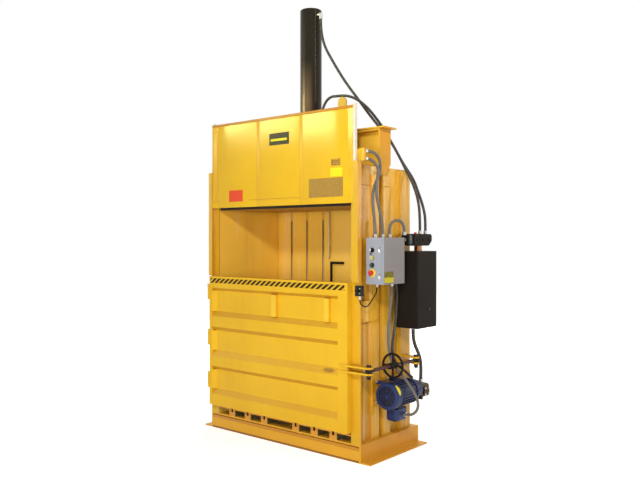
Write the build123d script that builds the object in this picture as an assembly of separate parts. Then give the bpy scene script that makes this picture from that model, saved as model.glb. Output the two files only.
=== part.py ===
from build123d import *
import math
import os

# Vertical baler for cardboard, in millimetres.
# X runs to the right, Y to the back and Z up.
# The origin is on the floor, in the middle of the base.

# Base frame, with the places that follow from its width and depth
CHAMBER_W = 1524.0
UPRIGHT_W = 92.0
HALF_D = 404.0
INNER_W = CHAMBER_W / 2
HALF_W = INNER_W + UPRIGHT_W
FRONT_Y = -HALF_D


def depth(span):
    """Places measured back from the front face of the machine."""
    return tuple(FRONT_Y + value for value in span)


def beside(span):
    """Places measured out from the right side of the machine."""
    return tuple(HALF_W + value for value in span)


SILL_H = 140.0
SILL_T = 12.0
SILL_FOOT = 92.0
SILL_LEDGE = 84.0
BEAM_FLANGE = 64.0
BEAM_FLANGE_T = 12.0
BEAM_WEB_T = 12.0
BEAM_LIP = 18.0
BEAM_SKIRT_H = 94.0
CROSS_TUBE_W = 80.0
CROSS_TUBE_T = 6.0
CROSS_TUBE_X = (-HALF_W / 2, 0.0, HALF_W / 2)
ANCHOR_X = HALF_W + 51.0
ANCHOR_Y = HALF_D - 64.0
ANCHOR_R = 9.0

# Chamber
SIDE_PLATE_T = 8.0
SIDE_TOP_Z = 2310.0
FRONT_PLATE_T = 14.0
BACK_Y = HALF_D - 18.0
BACK_PLATE_T = 8.0
BACK_TOP_Z = 2285.0
FLOOR_T = 12.0
TROUGH_H = 55.0
TROUGH_W = 76.0
TROUGH_T = 6.0
WIRE_SLOT_W = 20.0
WIRE_SLOT_SHARE = (-0.765, -0.505, -0.24, 0.24, 0.505, 0.765)
WIRE_NOTCH_H = 34.0
WIRE_SLOT_TOP_Z = 1900.0
STIFFENER_SHARE = (-0.765, -0.505, -0.24, 0.0, 0.24, 0.505, 0.765)
STIFFENER_W = 110.0
STIFFENER_D = 46.0
STIFFENER_T = 6.0

# Uprights and side ribs
UPRIGHT_TOP_Z = 2325.0
RIB_INSET = 41.0
RIB_X = HALF_W - RIB_INSET
BAY_PLATE_T = 8.0
BAY_RECESS = 12.0
RIB_TOP_Z = 2236.0
RIB_1_Y = (200.0, 301.0)
RIB_2_Y = (359.0, 457.0)
REAR_POST_Y = (608.0, 748.0)
REAR_POST_TOP_Z = 2290.0
RIB_WALL = 6.0
ACCESS_PLATE_Y = (30.0, 272.0)
ACCESS_PLATE_Z = (1077.0, 1242.0)
ACCESS_PLATE_T = 10.0

# Gate rails and gate
RAIL_Z0 = 1393.0
RAIL_W = 32.0
RAIL_DEPTH = 30.4
RAIL_LIP_W = 46.0
RAIL_LIP_T = 8.0
GATE_HALF_W = INNER_W + 43.0
GATE_Z0 = 2003.0
GATE_TOP_Z = 2755.0
GATE_T = 4.0
GATE_FRONT = 34.0
GATE_FRAME_D = 22.0
GATE_FRAME_T = 5.0
GATE_SEAM_X = (-236.0, 261.0)
GATE_SEAM_W = 4.0
GATE_BAR_H = 50.0
GATE_BAR_T = 3.0
STRIP_GAP = 0.4
STRIP_W = 30.6
STRIP_X = (HALF_W - RAIL_W - STRIP_GAP - STRIP_W, HALF_W - RAIL_W - STRIP_GAP)
STRIP_D = 29.6
STRIP_RISE = 15.0

# Crossbeam
CROSS_HALF_W = INNER_W + 38.0
CROSS_Z0 = 2310.0
CROSS_Z1 = 2620.0
CROSS_FLANGE_W = 155.0
CROSS_FLANGE_T = 16.0
CROSS_WEB_T = 12.0
END_PLATE_T = 12.0
END_PLATE_LOW_Z = 2243.0
END_PLATE_REAR_Z = 2335.0
CAP_T = 12.0
CAP_HALF_W = CROSS_HALF_W + 48.0
CAP_HALF_D = 92.0
SLEEVE_R = 66.0
ROD_CLEAR = 5.0
POST_SPOT = (385.0, -38.0, 2938.0)
POST_HALF_W = 44.0
POST_T = 14.0
POST_GAP = 0.4

# Cylinder, rod and ram plate
BARREL_R = 95.5
BORE_R = 82.5
BARREL_TOP_Z = 3741.0
BARREL_CAP_T = 40.0
FLANGE_T = 24.0
FLANGE_HALF = 132.0
FLANGE_BOLT = 105.0
FLANGE_HOLE_R = 11.0
GLAND_H = 68.0
ROD_R = 45.0
PISTON_T = 70.0
PISTON_GAP = 6.0
RUNNING_GAP = 0.05
PLATEN_Z0 = 1983.0
PLATEN_T = 20.0
PLATEN_SIDE_GAP = 10.0
PLATEN_FRONT_GAP = 12.0
PLATEN_BACK_GAP = 10.0
PLATEN_RIB_H = 130.0
PLATEN_RIB_T = 12.0
PLATEN_RIB_SHARE = (-0.743, -0.272, 0.272, 0.718)
PLATEN_NOTCH_X = (-112.0, 124.0)
PLATEN_NOTCH_D = 76.0
ROD_PLATE_T = 20.0
ROD_PLATE_R = 110.0

# Bale door
DOOR_X = (-INNER_W - 58.0, INNER_W + 12.0)
DOOR_Z = (225.0, 1388.0)
DOOR_FRONT = 60.0
DOOR_BACK_GAP = 1.5
DOOR_SKIN_T = 6.0
DOOR_RECESS = 34.0
DOOR_FIELD_X = (-INNER_W - 25.0, INNER_W - 85.0)
DOOR_FIELD_BEVEL = 37.0
RIB_WALL_T = 5.0
PANEL_BOTTOM_Z = (325.0, 370.0)
RIB_LOW_Z = (543.0, 577.0, 666.0, 718.0)
RIB_HIGH_Z = (896.0, 932.0, 1028.0, 1071.0)
PANEL_TOP_Z = (1257.0, 1283.0)
STUD_X = ((-54.0, 6.0), (528.0, 580.0))
STUD_T = 24.0
HINGE_X = 10.0 - HALF_W
HINGE_Y = FRONT_Y - 42.0
HINGE_R = 15.0
HINGE_PIN_R = 9.0
HINGE_LEAF_T = 12.0
HINGE_Z = (420.0, 806.0, 1220.0)
KNUCKLE_H = 44.0
KNUCKLE_GAP = 1.0

# Door latch
LATCH_X = HALF_W + 106.0
LATCH_Z = 730.0
FRONT_PIN_Y = FRONT_Y - 38.0
REAR_PIN_Y = FRONT_Y + 615.0
LATCH_PIN_R = 13.0
LATCH_GAP = 32.0
ARM_T = 14.0
ARM_W = 44.0
ARM_X0 = INNER_W - 72.0
ARM_PROUD = 14.0
PIN_HEAD_R = 20.0
PIN_HEAD_H = 14.0
SCREW_R = 14.0
EYE_R = 27.0
EYE_H = 28.0
WHEEL_Y = FRONT_Y + 280.0
WHEEL_R = 92.0
WHEEL_RIM_R = 9.0
WHEEL_HUB_R = 25.0
WHEEL_HUB_L = 96.0
SPOKE_R = 7.0
SPOKES = 4
SCREW_MID_GAP = 12.0
HOOK_CLEAR = 0.6
BRACKET_HALF_W = 30.0
BRACKET_FLARE = 26.0
ARM_NOSE = 34.0

# Control enclosure
BOX_X = beside((17.0, 183.0))
BOX_Y = depth((50.0, 328.0))
BOX_Z = (1378.0, 1736.0)
BOX_T = 2.0
LID_D = 18.0
LID_GAP = 1.0
BOX_FOOT_H = 44.0
LID_HINGE_R = 5.0
LID_HINGE_Z = (1440.0, 1674.0)
LID_KNUCKLE_H = 22.0
BUTTON_X = HALF_W + 74.0
SELECTOR_Z = 1640.0
LAMP_BUTTON_Z = 1581.0
START_BUTTON_Z = 1525.0
STOP_BUTTON_Z = 1466.0
BUTTON_R = 14.0
COLLAR_R = 19.0
COLLAR_T = 5.0
STOP_RING_R = 32.0
STOP_HEAD_R = 21.0
SHAFT_R = 7.0
BUTTON_OUT = 9.0
SHAFT_IN = 16.0
CAP_HEAD_T = 4.0
STOP_HEAD_OUT = (12.0, 26.0)
KNOB_T = 10.0
KNOB_GRIP = (4.0, 13.0, 22.0)
LID_KNUCKLE_GAP = 0.5
LID_LEAF = 14.0
LID_LEAF_T = 3.0
GEAR_PLATE_T = 3.0
GEAR_PLATE_EDGE = 18.0
GEAR_DEPTH = 60.0
GEAR_Y = depth((174.0, 300.0))
GEAR_Z = ((1440.0, 1490.0), (1590.0, 1690.0))

# Limit switches
SWITCH_TAB_X = beside((-31.0, 0.0))
SWITCH_TAB_T = 5.0
SWITCH_TAB_TOP_Z = 2418.0
DOOR_SWITCH_X = beside((-26.0, 32.0))
DOOR_SWITCH_D = 38.0
DOOR_SWITCH_Z = (1289.0, 1369.0)
GATE_SWITCH_X = beside((-14.0, 32.0))
GATE_SWITCH_D = 21.0
GATE_SWITCH_Z = (2326.0, 2424.0)
SWITCH_ROUND = 5.0

# Power pack
TANK_X = beside((8.0, 233.0))
TANK_Y = depth((440.0, 730.0))
TANK_Z = (1010.0, 1627.0)
TANK_T = 4.0
BLOCK_X = beside((81.0, 171.0))
BLOCK_Y = depth((494.0, 754.0))
BLOCK_Z = (1670.0, 1766.0)
COIL_Y0 = FRONT_Y + 421.0
COIL_W = 70.0
COIL_H = 76.0
STEM_R = 32.0
STEM_Y = FRONT_Y + 613.0
TANK_ROUND = 8.0
TANK_RAIL_H = 40.0
TANK_RAIL_IN = (90.0, 130.0)
VALVE_FACE = (16.0, 40.0, 46.0)
BREATHER = (HALF_W + 41.0, FRONT_Y + 494.0)
BREATHER_H = (14.0, 34.0)
BREATHER_R = (22.0, 28.0)
MOTOR_X = HALF_W + 122.0
MOTOR_Z = 505.0
MOTOR_Y = depth((172.0, 494.0))
FAN_COVER_R = 107.5
FAN_COVER_L = 66.0
MOTOR_R = 90.0
FIN_H = 10.0
FIN_T = 4.0
FINS = 24
BELL_R = 74.0
PUMP_Y = depth((580.0, 711.0))
PUMP_HALF_W = 50.0
PUMP_Z = (428.0, 536.0)
TERMINAL_X = beside((51.0, 161.0))
TERMINAL_Y = depth((254.0, 414.0))
TERMINAL_Z = (292.0, 392.0)
TERMINAL_ROUND = 30.0
TERMINAL_BOTTOM_ROUND = 26.0
TERMINAL_NECK_Y = depth((294.0, 374.0))
TERMINAL_NECK_HALF_W = 30.0
END_BELL_L = 24.0
FAN_COVER_ROUND = 14.0
MOTOR_FOOT_Y = depth((252.0, 430.0))
MOTOR_FOOT_Z = 92.0
MOTOR_FOOT_H = 26.0
MOTOR_FOOT_L = 34.0
MOTOR_PLATE_T = 8.0
MOTOR_PLATE_EDGE = 12.0
PUMP_ROUND = 24.0
PUMP_FLANGE_T = 20.0
PUMP_FLANGE_HALF_W = 60.0
PUMP_FLANGE_DROP = 6.0

# Ejector bar and the pipe beside it
EJECTOR_X = -60.0
EJECTOR_Y = BACK_Y - 30.0
EJECTOR_R = 11.0
EJECTOR_Z = (240.0, 1515.0)
EJECTOR_ARM_X = 84.0
EJECTOR_EYE = 20.0
EJECTOR_EYE_H = 16.0
EJECTOR_COLLAR = (0.2, 12.0, 7.0)
EJECTOR_GUIDE_Z = (700.0, 1100.0)
PIPE_X = -92.0
PIPE_R = 9.0
PIPE_STAND = 12.0
PIPE_Z = (1540.0, 2240.0)
PIPE_CLIP_Z = (1600.0, 2180.0)
PIPE_CLIP_H = 20.0

# Hoses and conduits
HOSE_D = 23.0
PUMP_HOSE_D = 24.0
SUCTION_D = 30.0
CONDUIT_D = 24.0
MOTOR_CONDUIT_D = 22.0
CABLE_D = 9.0
FITTING_L = 26.0
FITTING_R = 17.0
HOSE_FITTING_R = 16.0
SUCTION_FITTING_R = 19.0
PORT_R = 14.0
PORT_REACH = 44.0

# Cord routes, each point chosen by hand for this width and depth
ROUTE_UNIT = 1.0
ROUTE_HALF_W = 854.0
ROUTE_HALF_D = 404.0
ROUTE_FREE_X = 180.0
TOP_HOSE = [(128, -16, 3640), (128, -16, 3550), (158, -7, 3406), (227, 14, 3277), (300, 35, 3150)]
TOP_HOSE += [(380, 58, 3027), (466, 84, 2910), (549, 108, 2790), (637, 135, 2674), (729, 162, 2561)]
TOP_HOSE += [(800, 183, 2434), (864, 202, 2302), (930, 222, 2171), (971, 235, 2029), (980, 239, 1882)]
TOP_HOSE += [(980, 239, 1792)]
LOWER_HOSE = [(128, 0, 2770), (128, 0, 2810), (146, -4, 2875), (191, -13, 2925), (254, -26, 2948)]
LOWER_HOSE += [(322, -36, 2941), (390, -38, 2938), (457, -34, 2925), (518, -19, 2897), (564, 10, 2857)]
LOWER_HOSE += [(594, 54, 2813), (614, 99, 2765), (631, 144, 2716), (649, 185, 2664), (671, 215, 2606)]
LOWER_HOSE += [(695, 238, 2546), (722, 257, 2486), (752, 271, 2426), (783, 283, 2366), (819, 294, 2308)]
LOWER_HOSE += [(857, 303, 2251), (888, 309, 2190), (911, 313, 2126), (936, 317, 2062), (958, 319, 1997)]
LOWER_HOSE += [(975, 321, 1930), (980, 322, 1862), (980, 322, 1792)]
CONDUIT_A = [(872, -352, 2404), (872, -320, 2404), (879, -266, 2400), (887, -221, 2373), (890, -195, 2325)]
CONDUIT_A += [(890, -196, 2271), (890, -216, 2221), (888, -244, 2175), (887, -272, 2128)]
CONDUIT_A += [(887, -291, 2077), (889, -296, 2023), (892, -294, 1968), (899, -293, 1914)]
CONDUIT_A += [(908, -296, 1861), (915, -300, 1807), (915, -300, 1762)]
CONDUIT_B = [(872, -352, 2345), (872, -328, 2345), (878, -289, 2336), (893, -261, 2312), (908, -248, 2277)]
CONDUIT_B += [(915, -253, 2238), (913, -266, 2199), (911, -273, 2159), (911, -276, 2119)]
CONDUIT_B += [(911, -273, 2078), (911, -264, 2039), (911, -251, 2000), (912, -238, 1962)]
CONDUIT_B += [(913, -225, 1923), (914, -214, 1884), (915, -206, 1844), (915, -202, 1804), (915, -202, 1762)]
CONDUIT_ARCH = [(915, -108, 1762), (915, -108, 1786), (916, -103, 1820), (922, -88, 1850)]
CONDUIT_ARCH += [(932, -62, 1871), (944, -30, 1876), (955, 0, 1864), (962, 22, 1839), (965, 30, 1806)]
CONDUIT_ARCH += [(965, 30, 1782)]
MOTOR_CONDUIT = [(930, -95, 1352), (930, -95, 1302), (928, -97, 1256), (919, -109, 1118)]
MOTOR_CONDUIT += [(915, -112, 1072), (912, -114, 1026), (909, -114, 980), (907, -110, 933)]
MOTOR_CONDUIT += [(904, -103, 888), (903, -92, 843), (905, -79, 799), (911, -67, 754), (931, -59, 714)]
MOTOR_CONDUIT += [(965, -56, 683), (1001, -58, 655), (1034, -60, 622), (1065, -60, 588), (1095, -60, 552)]
MOTOR_CONDUIT += [(1124, -60, 516), (1147, -60, 477), (1156, -60, 432), (1141, -60, 389), (1107, -60, 357)]
MOTOR_CONDUIT += [(1063, -60, 345), (1041, -60, 345)]
PUMP_HOSE = [(905, 150, 1724), (905, 100, 1724), (905, 28, 1702), (905, -26, 1648), (904, -56, 1578)]
PUMP_HOSE += [(904, -50, 1503), (904, -24, 1431), (904, 4, 1359), (904, 19, 1285), (904, 12, 1209)]
PUMP_HOSE += [(903, 8, 1132), (901, 0, 1056), (897, -12, 981), (892, -26, 906), (887, -28, 830)]
PUMP_HOSE += [(886, -3, 758), (888, 48, 701), (898, 112, 661), (918, 169, 615), (930, 194, 586)]
SUCTION_HOSE = [(930, 214, 984), (930, 214, 940), (930, 224, 888), (930, 247, 840), (930, 279, 797)]
SUCTION_HOSE += [(932, 307, 752), (937, 317, 700), (945, 310, 648), (950, 300, 596), (950, 300, 562)]
SWITCH_CABLE = [(862, -424, 1263), (862, -424, 1251), (865, -417, 1228), (871, -399, 1212)]
SWITCH_CABLE += [(879, -376, 1205), (887, -354, 1211), (893, -337, 1228), (898, -321, 1248)]
SWITCH_CABLE += [(908, -293, 1288), (913, -282, 1310), (915, -276, 1334), (915, -276, 1352)]


def moved(point):
    """A point of a route, carried along when the machine's width or depth changes."""
    x, y, z = (value * ROUTE_UNIT for value in point)
    share = min(1, max(0, (x - ROUTE_FREE_X) / (ROUTE_HALF_W - ROUTE_FREE_X)))
    return (x + (HALF_W - ROUTE_HALF_W) * share, y + (ROUTE_HALF_D - HALF_D) * share, z)


def route(points):
    return [moved(point) for point in points]


CORDS = {
    "top_hose": (route(TOP_HOSE), HOSE_D),
    "lower_hose": (route(LOWER_HOSE), HOSE_D),
    "conduit_a": (route(CONDUIT_A), CONDUIT_D),
    "conduit_b": (route(CONDUIT_B), CONDUIT_D),
    "conduit_arch": (route(CONDUIT_ARCH), CONDUIT_D),
    "motor_conduit": (route(MOTOR_CONDUIT), MOTOR_CONDUIT_D),
    "pump_hose": (route(PUMP_HOSE), PUMP_HOSE_D),
    "suction_hose": (route(SUCTION_HOSE), SUCTION_D),
    "switch_cable": (route(SWITCH_CABLE), CABLE_D),
}

# Worked-out places
FLOOR_Z = SILL_H + TROUGH_H + FLOOR_T
BACK_BACK_Y = BACK_Y + BACK_PLATE_T
GATE_FACE_Y = FRONT_Y - GATE_FRONT
CAP_Z = CROSS_Z1 + CAP_T
GLAND_Z0 = CAP_Z
PISTON_TOP_Z = BARREL_TOP_Z - BARREL_CAP_T - PISTON_GAP
PLATEN_RIB_TOP = PLATEN_Z0 + PLATEN_T + PLATEN_RIB_H
ROD_SEAT_Z = PLATEN_RIB_TOP + ROD_PLATE_T
ARM_Z = (LATCH_Z + LATCH_GAP / 2, LATCH_Z - LATCH_GAP / 2 - ARM_T)
PIN_Z0 = ARM_Z[1] - PIN_HEAD_H
PIN_Z1 = ARM_Z[0] + ARM_T + PIN_HEAD_H

PARTS = {}


def block(x, y, z):
    """A box between the two ends given for each axis."""
    size = Box(x[1] - x[0], y[1] - y[0], z[1] - z[0])
    return Pos((x[0] + x[1]) / 2, (y[0] + y[1]) / 2, (z[0] + z[1]) / 2) * size


def upright_rod(x, y, z, radius):
    """A round bar along Z between the two heights given."""
    return Pos(x, y, (z[0] + z[1]) / 2) * Cylinder(radius, z[1] - z[0])


def along_y(x, y, z, radius):
    """A round bar along Y between the two ends given."""
    return Pos(x, (y[0] + y[1]) / 2, z) * Rot(90, 0, 0) * Cylinder(radius, y[1] - y[0])


def along_x(x, y, z, radius):
    """A round bar along X between the two ends given."""
    return Pos((x[0] + x[1]) / 2, y, z) * Rot(0, 90, 0) * Cylinder(radius, x[1] - x[0])


def tube_post(x, y, z, wall):
    """A hollow rectangular post, open at both ends."""
    inner_x = (x[0] + wall, x[1] - wall)
    inner_y = (y[0] + wall, y[1] - wall)
    return block(x, y, z) - block(inner_x, inner_y, (z[0] - 1, z[1] + 1))


def profile_x(points, x):
    """A prism along X from an outline of (y, z) points."""
    face = make_face(Polyline(*[(x[0], y, z) for y, z in points], close=True))
    return Solid(extrude(face, amount=x[1] - x[0], dir=(1, 0, 0)).wrapped)


def profile_z(points, z):
    """A prism along Z from an outline of (x, y) points."""
    face = make_face(Polyline(*[(x, y, z[0]) for x, y in points], close=True))
    return Solid(extrude(face, amount=z[1] - z[0], dir=(0, 0, 1)).wrapped)


def both_sides(x0, x1):
    """The same span of X on the left and on the right."""
    return ((-x1, -x0), (x0, x1))


def keep(name, *solids):
    """File the solids of one node under its name."""
    found = [solid for shape in solids for solid in shape.solids()]
    PARTS[name] = Compound(children=found) if len(found) > 1 else found[0]


def base_sills():
    sills = []
    for side, web in zip((-1, 1), both_sides(HALF_W - SILL_T, HALF_W)):
        foot = sorted((side * HALF_W, side * (HALF_W + SILL_FOOT)))
        sill = block(web, (FRONT_Y, HALF_D), (0, SILL_H))
        sill += block(foot, (FRONT_Y, HALF_D), (0, SILL_T))
        ledge = sorted((side * HALF_W, side * (HALF_W - SILL_LEDGE)))
        ledge_y = (FRONT_Y + BEAM_FLANGE, HALF_D - BEAM_FLANGE)
        sill += block(ledge, ledge_y, (SILL_H - SILL_T, SILL_H))
        for y in (-ANCHOR_Y, ANCHOR_Y):
            sill -= upright_rod(side * ANCHOR_X, y, (-1, SILL_T + 1), ANCHOR_R)
        sills.append(sill)
    keep("base_sills", *sills)


def base_beam(side):
    """Front or rear beam, a plate web between two flanges."""
    reach = HALF_W - SILL_T
    outer = side * HALF_D
    inner = outer - side * BEAM_FLANGE
    flange = sorted((outer, inner))
    web = sorted((outer - side * BEAM_LIP, outer - side * (BEAM_LIP + BEAM_WEB_T)))
    beam = block((-reach, reach), flange, (0, BEAM_FLANGE_T))
    beam += block((-reach, reach), web, (0, SILL_H))
    skirt = sorted((outer, outer - side * BEAM_LIP))
    beam += block((-reach, reach), skirt, (0, BEAM_SKIRT_H))
    beam += block((-reach, reach), flange, (SILL_H - BEAM_FLANGE_T, SILL_H))
    return beam


def base_beams():
    members = [base_beam(-1), base_beam(1)]
    span = (-HALF_D + BEAM_FLANGE, HALF_D - BEAM_FLANGE)
    for x in CROSS_TUBE_X:
        width = (x - CROSS_TUBE_W / 2, x + CROSS_TUBE_W / 2)
        hollow = (width[0] + CROSS_TUBE_T, width[1] - CROSS_TUBE_T)
        tube = block(width, span, (0, SILL_H))
        tube -= block(hollow, (span[0] - 1, span[1] + 1), (CROSS_TUBE_T, SILL_H - CROSS_TUBE_T))
        members.append(tube)
    keep("base_beams", *members)


def chamber_floor():
    """Floor plate with wire slots, each over its own trough."""
    reach = INNER_W - 1
    span = (FRONT_Y, BACK_Y - 1)
    floor = block((-reach, reach), span, (FLOOR_Z - FLOOR_T, FLOOR_Z))
    for x in (share * INNER_W for share in WIRE_SLOT_SHARE):
        outer = (x - TROUGH_W / 2, x + TROUGH_W / 2)
        inner = (outer[0] + TROUGH_T, outer[1] - TROUGH_T)
        slot = (x - WIRE_SLOT_W / 2, x + WIRE_SLOT_W / 2)
        trough = block(outer, span, (SILL_H, FLOOR_Z - FLOOR_T))
        hollow = (SILL_H + TROUGH_T, FLOOR_Z - FLOOR_T)
        trough -= block(inner, (span[0] + TROUGH_T, span[1] + 1), hollow)
        floor += trough
        floor -= block(slot, (span[0] + TROUGH_T - 1, span[1] + 1), (FLOOR_Z - FLOOR_T - 1, FLOOR_Z + 1))
        floor -= block(slot, (span[0] - 1, span[0] + TROUGH_T), (FLOOR_Z - WIRE_NOTCH_H, FLOOR_Z + 1))
    keep("chamber_floor", floor)


def side_walls():
    span = (FRONT_Y + FRONT_PLATE_T, BACK_BACK_Y)
    plates = both_sides(INNER_W, INNER_W + SIDE_PLATE_T)
    for name, x in zip(("side_wall_left", "side_wall_right"), plates):
        keep(name, block(x, span, (SILL_H, SIDE_TOP_Z)))


def back_wall():
    wall = block((-INNER_W, INNER_W), (BACK_Y, BACK_BACK_Y), (SILL_H, BACK_TOP_Z))
    for x in (share * INNER_W for share in WIRE_SLOT_SHARE):
        slot = (x - WIRE_SLOT_W / 2, x + WIRE_SLOT_W / 2)
        wall -= block(slot, (BACK_Y - 1, BACK_BACK_Y + 1), (FLOOR_Z, WIRE_SLOT_TOP_Z))
    for z in EJECTOR_GUIDE_Z:
        outer = (EJECTOR_X - EJECTOR_EYE, EJECTOR_X + EJECTOR_EYE)
        eye = block(outer, (EJECTOR_Y - EJECTOR_EYE, BACK_Y), (z, z + EJECTOR_EYE_H))
        wall += eye - upright_rod(EJECTOR_X, EJECTOR_Y, (z - 1, z + EJECTOR_EYE_H + 1), EJECTOR_R + RUNNING_GAP)
    pipe_x = (PIPE_X - PIPE_R, PIPE_X + PIPE_R)
    for z in PIPE_CLIP_Z:
        wall += block(pipe_x, (BACK_Y - PIPE_STAND, BACK_Y), (z, z + PIPE_CLIP_H))
    keep("back_wall", wall)


def back_stiffeners():
    """Hat channels that stand behind the back wall, between the wire slots."""
    channels = []
    span = (BACK_BACK_Y, BACK_BACK_Y + STIFFENER_D)
    for x in (share * INNER_W for share in STIFFENER_SHARE):
        outer = (x - STIFFENER_W / 2, x + STIFFENER_W / 2)
        inner = (outer[0] + STIFFENER_T, outer[1] - STIFFENER_T)
        channel = block(outer, span, (SILL_H, BACK_TOP_Z))
        channel -= block(inner, (span[0] - 1, span[1] - STIFFENER_T), (SILL_H - 1, BACK_TOP_Z - STIFFENER_T))
        channels.append(channel)
    keep("back_stiffeners", *channels)


def front_upright(side):
    """Front plate, gate rail and side bay plate, welded into one."""
    def at(x0, x1):
        return tuple(sorted((side * x0, side * x1)))
    plate_back = FRONT_Y + FRONT_PLATE_T
    post = block(at(INNER_W, HALF_W), (FRONT_Y, plate_back), (SILL_H, UPRIGHT_TOP_Z))
    bay = at(RIB_X - BAY_RECESS - BAY_PLATE_T, RIB_X - BAY_RECESS)
    post += block(bay, (plate_back, depth(RIB_1_Y)[0]), (SILL_H, SIDE_TOP_Z))
    rail_front = FRONT_Y - RAIL_DEPTH
    post += block(at(HALF_W - RAIL_W, HALF_W), (rail_front, FRONT_Y), (RAIL_Z0, UPRIGHT_TOP_Z))
    lip = (rail_front - RAIL_LIP_T, rail_front)
    post += block(at(HALF_W - RAIL_LIP_W, HALF_W), lip, (RAIL_Z0, UPRIGHT_TOP_Z))
    return post


def front_uprights():
    keep("front_upright_left", front_upright(-1))
    right = front_upright(1)
    tab = block(SWITCH_TAB_X, (FRONT_Y, FRONT_Y + SWITCH_TAB_T), (UPRIGHT_TOP_Z, SWITCH_TAB_TOP_Z))
    keep("front_upright_right", right + tab)


def side_ribs():
    for name, side in (("side_ribs_left", -1), ("side_ribs_right", 1)):
        x = tuple(sorted((side * (INNER_W + SIDE_PLATE_T), side * RIB_X)))
        ribs = [tube_post(x, depth(RIB_1_Y), (SILL_H, RIB_TOP_Z), RIB_WALL)]
        ribs.append(tube_post(x, depth(RIB_2_Y), (SILL_H, RIB_TOP_Z), RIB_WALL))
        ribs.append(tube_post(x, depth(REAR_POST_Y), (SILL_H, REAR_POST_TOP_Z), RIB_WALL))
        cover = tuple(sorted((side * RIB_X, side * (RIB_X + ACCESS_PLATE_T))))
        ribs[0] += block(cover, depth(ACCESS_PLATE_Y), ACCESS_PLATE_Z)
        keep(name, *ribs)


def crossbeam():
    """Rolled beam with end plates, cap plate and a sleeve for the rod."""
    half = CROSS_FLANGE_W / 2
    length = (-CROSS_HALF_W + END_PLATE_T, CROSS_HALF_W - END_PLATE_T)
    beam = block(length, (-half, half), (CROSS_Z0, CROSS_Z0 + CROSS_FLANGE_T))
    beam += block(length, (-half, half), (CROSS_Z1 - CROSS_FLANGE_T, CROSS_Z1))
    beam += block(length, (-CROSS_WEB_T / 2, CROSS_WEB_T / 2), (CROSS_Z0, CROSS_Z1))
    front = -half
    outline = [(front, CROSS_Z1), (half, CROSS_Z1), (half, END_PLATE_REAR_Z)]
    outline += [(0, END_PLATE_LOW_Z), (front, END_PLATE_LOW_Z)]
    for side in (-1, 1):
        ends = sorted((side * CROSS_HALF_W, side * (CROSS_HALF_W - END_PLATE_T)))
        beam += profile_x(outline, ends)
    beam += block((-CAP_HALF_W, CAP_HALF_W), (-CAP_HALF_D, CAP_HALF_D), (CROSS_Z1, CAP_Z))
    beam += upright_rod(0, 0, (CROSS_Z0, CROSS_Z1), SLEEVE_R)
    beam -= upright_rod(0, 0, (CROSS_Z0 - 1, CAP_Z + 1), ROD_R + ROD_CLEAR)
    keep("crossbeam", beam)


def hose_post():
    """Flat post with a rounded top that carries one hose."""
    x, middle_y, hose_z = moved(POST_SPOT)
    top = hose_z - HOSE_D / 2 - POST_GAP
    y = (middle_y - POST_T / 2, middle_y + POST_T / 2)
    post = block((x - POST_HALF_W, x + POST_HALF_W), y, (CAP_Z, top - POST_HALF_W))
    post += along_y(x, y, top - POST_HALF_W, POST_HALF_W)
    keep("hose_post", post)


def cylinder():
    half = (-FLANGE_HALF, FLANGE_HALF)
    flange = block(half, half, (CAP_Z, CAP_Z + FLANGE_T))
    barrel = flange + upright_rod(0, 0, (CAP_Z, BARREL_TOP_Z), BARREL_R)
    gland_top = GLAND_Z0 + GLAND_H
    barrel -= upright_rod(0, 0, (CAP_Z - 1, BARREL_TOP_Z - BARREL_CAP_T), BORE_R)
    for x in (-FLANGE_BOLT, FLANGE_BOLT):
        for y in (-FLANGE_BOLT, FLANGE_BOLT):
            barrel -= upright_rod(x, y, (CAP_Z - 1, CAP_Z + FLANGE_T + 1), FLANGE_HOLE_R)
    rim = barrel.edges().filter_by(GeomType.CIRCLE).sort_by(Axis.Z)[-1]
    keep("cylinder_barrel", chamfer(rim, 5))
    gland = upright_rod(0, 0, (GLAND_Z0, gland_top), BORE_R)
    gland -= upright_rod(0, 0, (GLAND_Z0 - 1, gland_top + 1), ROD_R + RUNNING_GAP)
    keep("cylinder_gland", gland)


def ram():
    """Piston, rod and the ram plate that presses the bale."""
    piston_z = (PISTON_TOP_Z - PISTON_T, PISTON_TOP_Z)
    piston = upright_rod(0, 0, piston_z, BORE_R - RUNNING_GAP)
    keep("piston", piston)
    keep("piston_rod", upright_rod(0, 0, (ROD_SEAT_Z, piston_z[0]), ROD_R))
    reach = INNER_W - PLATEN_SIDE_GAP
    y = (FRONT_Y + PLATEN_FRONT_GAP, BACK_Y - PLATEN_BACK_GAP)
    top = PLATEN_Z0 + PLATEN_T
    plate = block((-reach, reach), y, (PLATEN_Z0, top))
    rib_places = [share * HALF_D for share in PLATEN_RIB_SHARE]
    for rib_y in rib_places:
        web = (rib_y - PLATEN_RIB_T / 2, rib_y + PLATEN_RIB_T / 2)
        plate += block((-reach, reach), web, (top, PLATEN_RIB_TOP))
    for x in (-reach, 0, reach - PLATEN_RIB_T):
        plate += block((x, x + PLATEN_RIB_T), (rib_places[0], rib_places[-1]), (top, PLATEN_RIB_TOP))
    plate += upright_rod(0, 0, (PLATEN_RIB_TOP - PLATEN_RIB_H, ROD_SEAT_Z), ROD_PLATE_R)
    notch_y = (y[1] - PLATEN_NOTCH_D, y[1] + 1)
    plate -= block(PLATEN_NOTCH_X, notch_y, (PLATEN_Z0 - 1, PLATEN_RIB_TOP + 1))
    keep("platen", plate)


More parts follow.
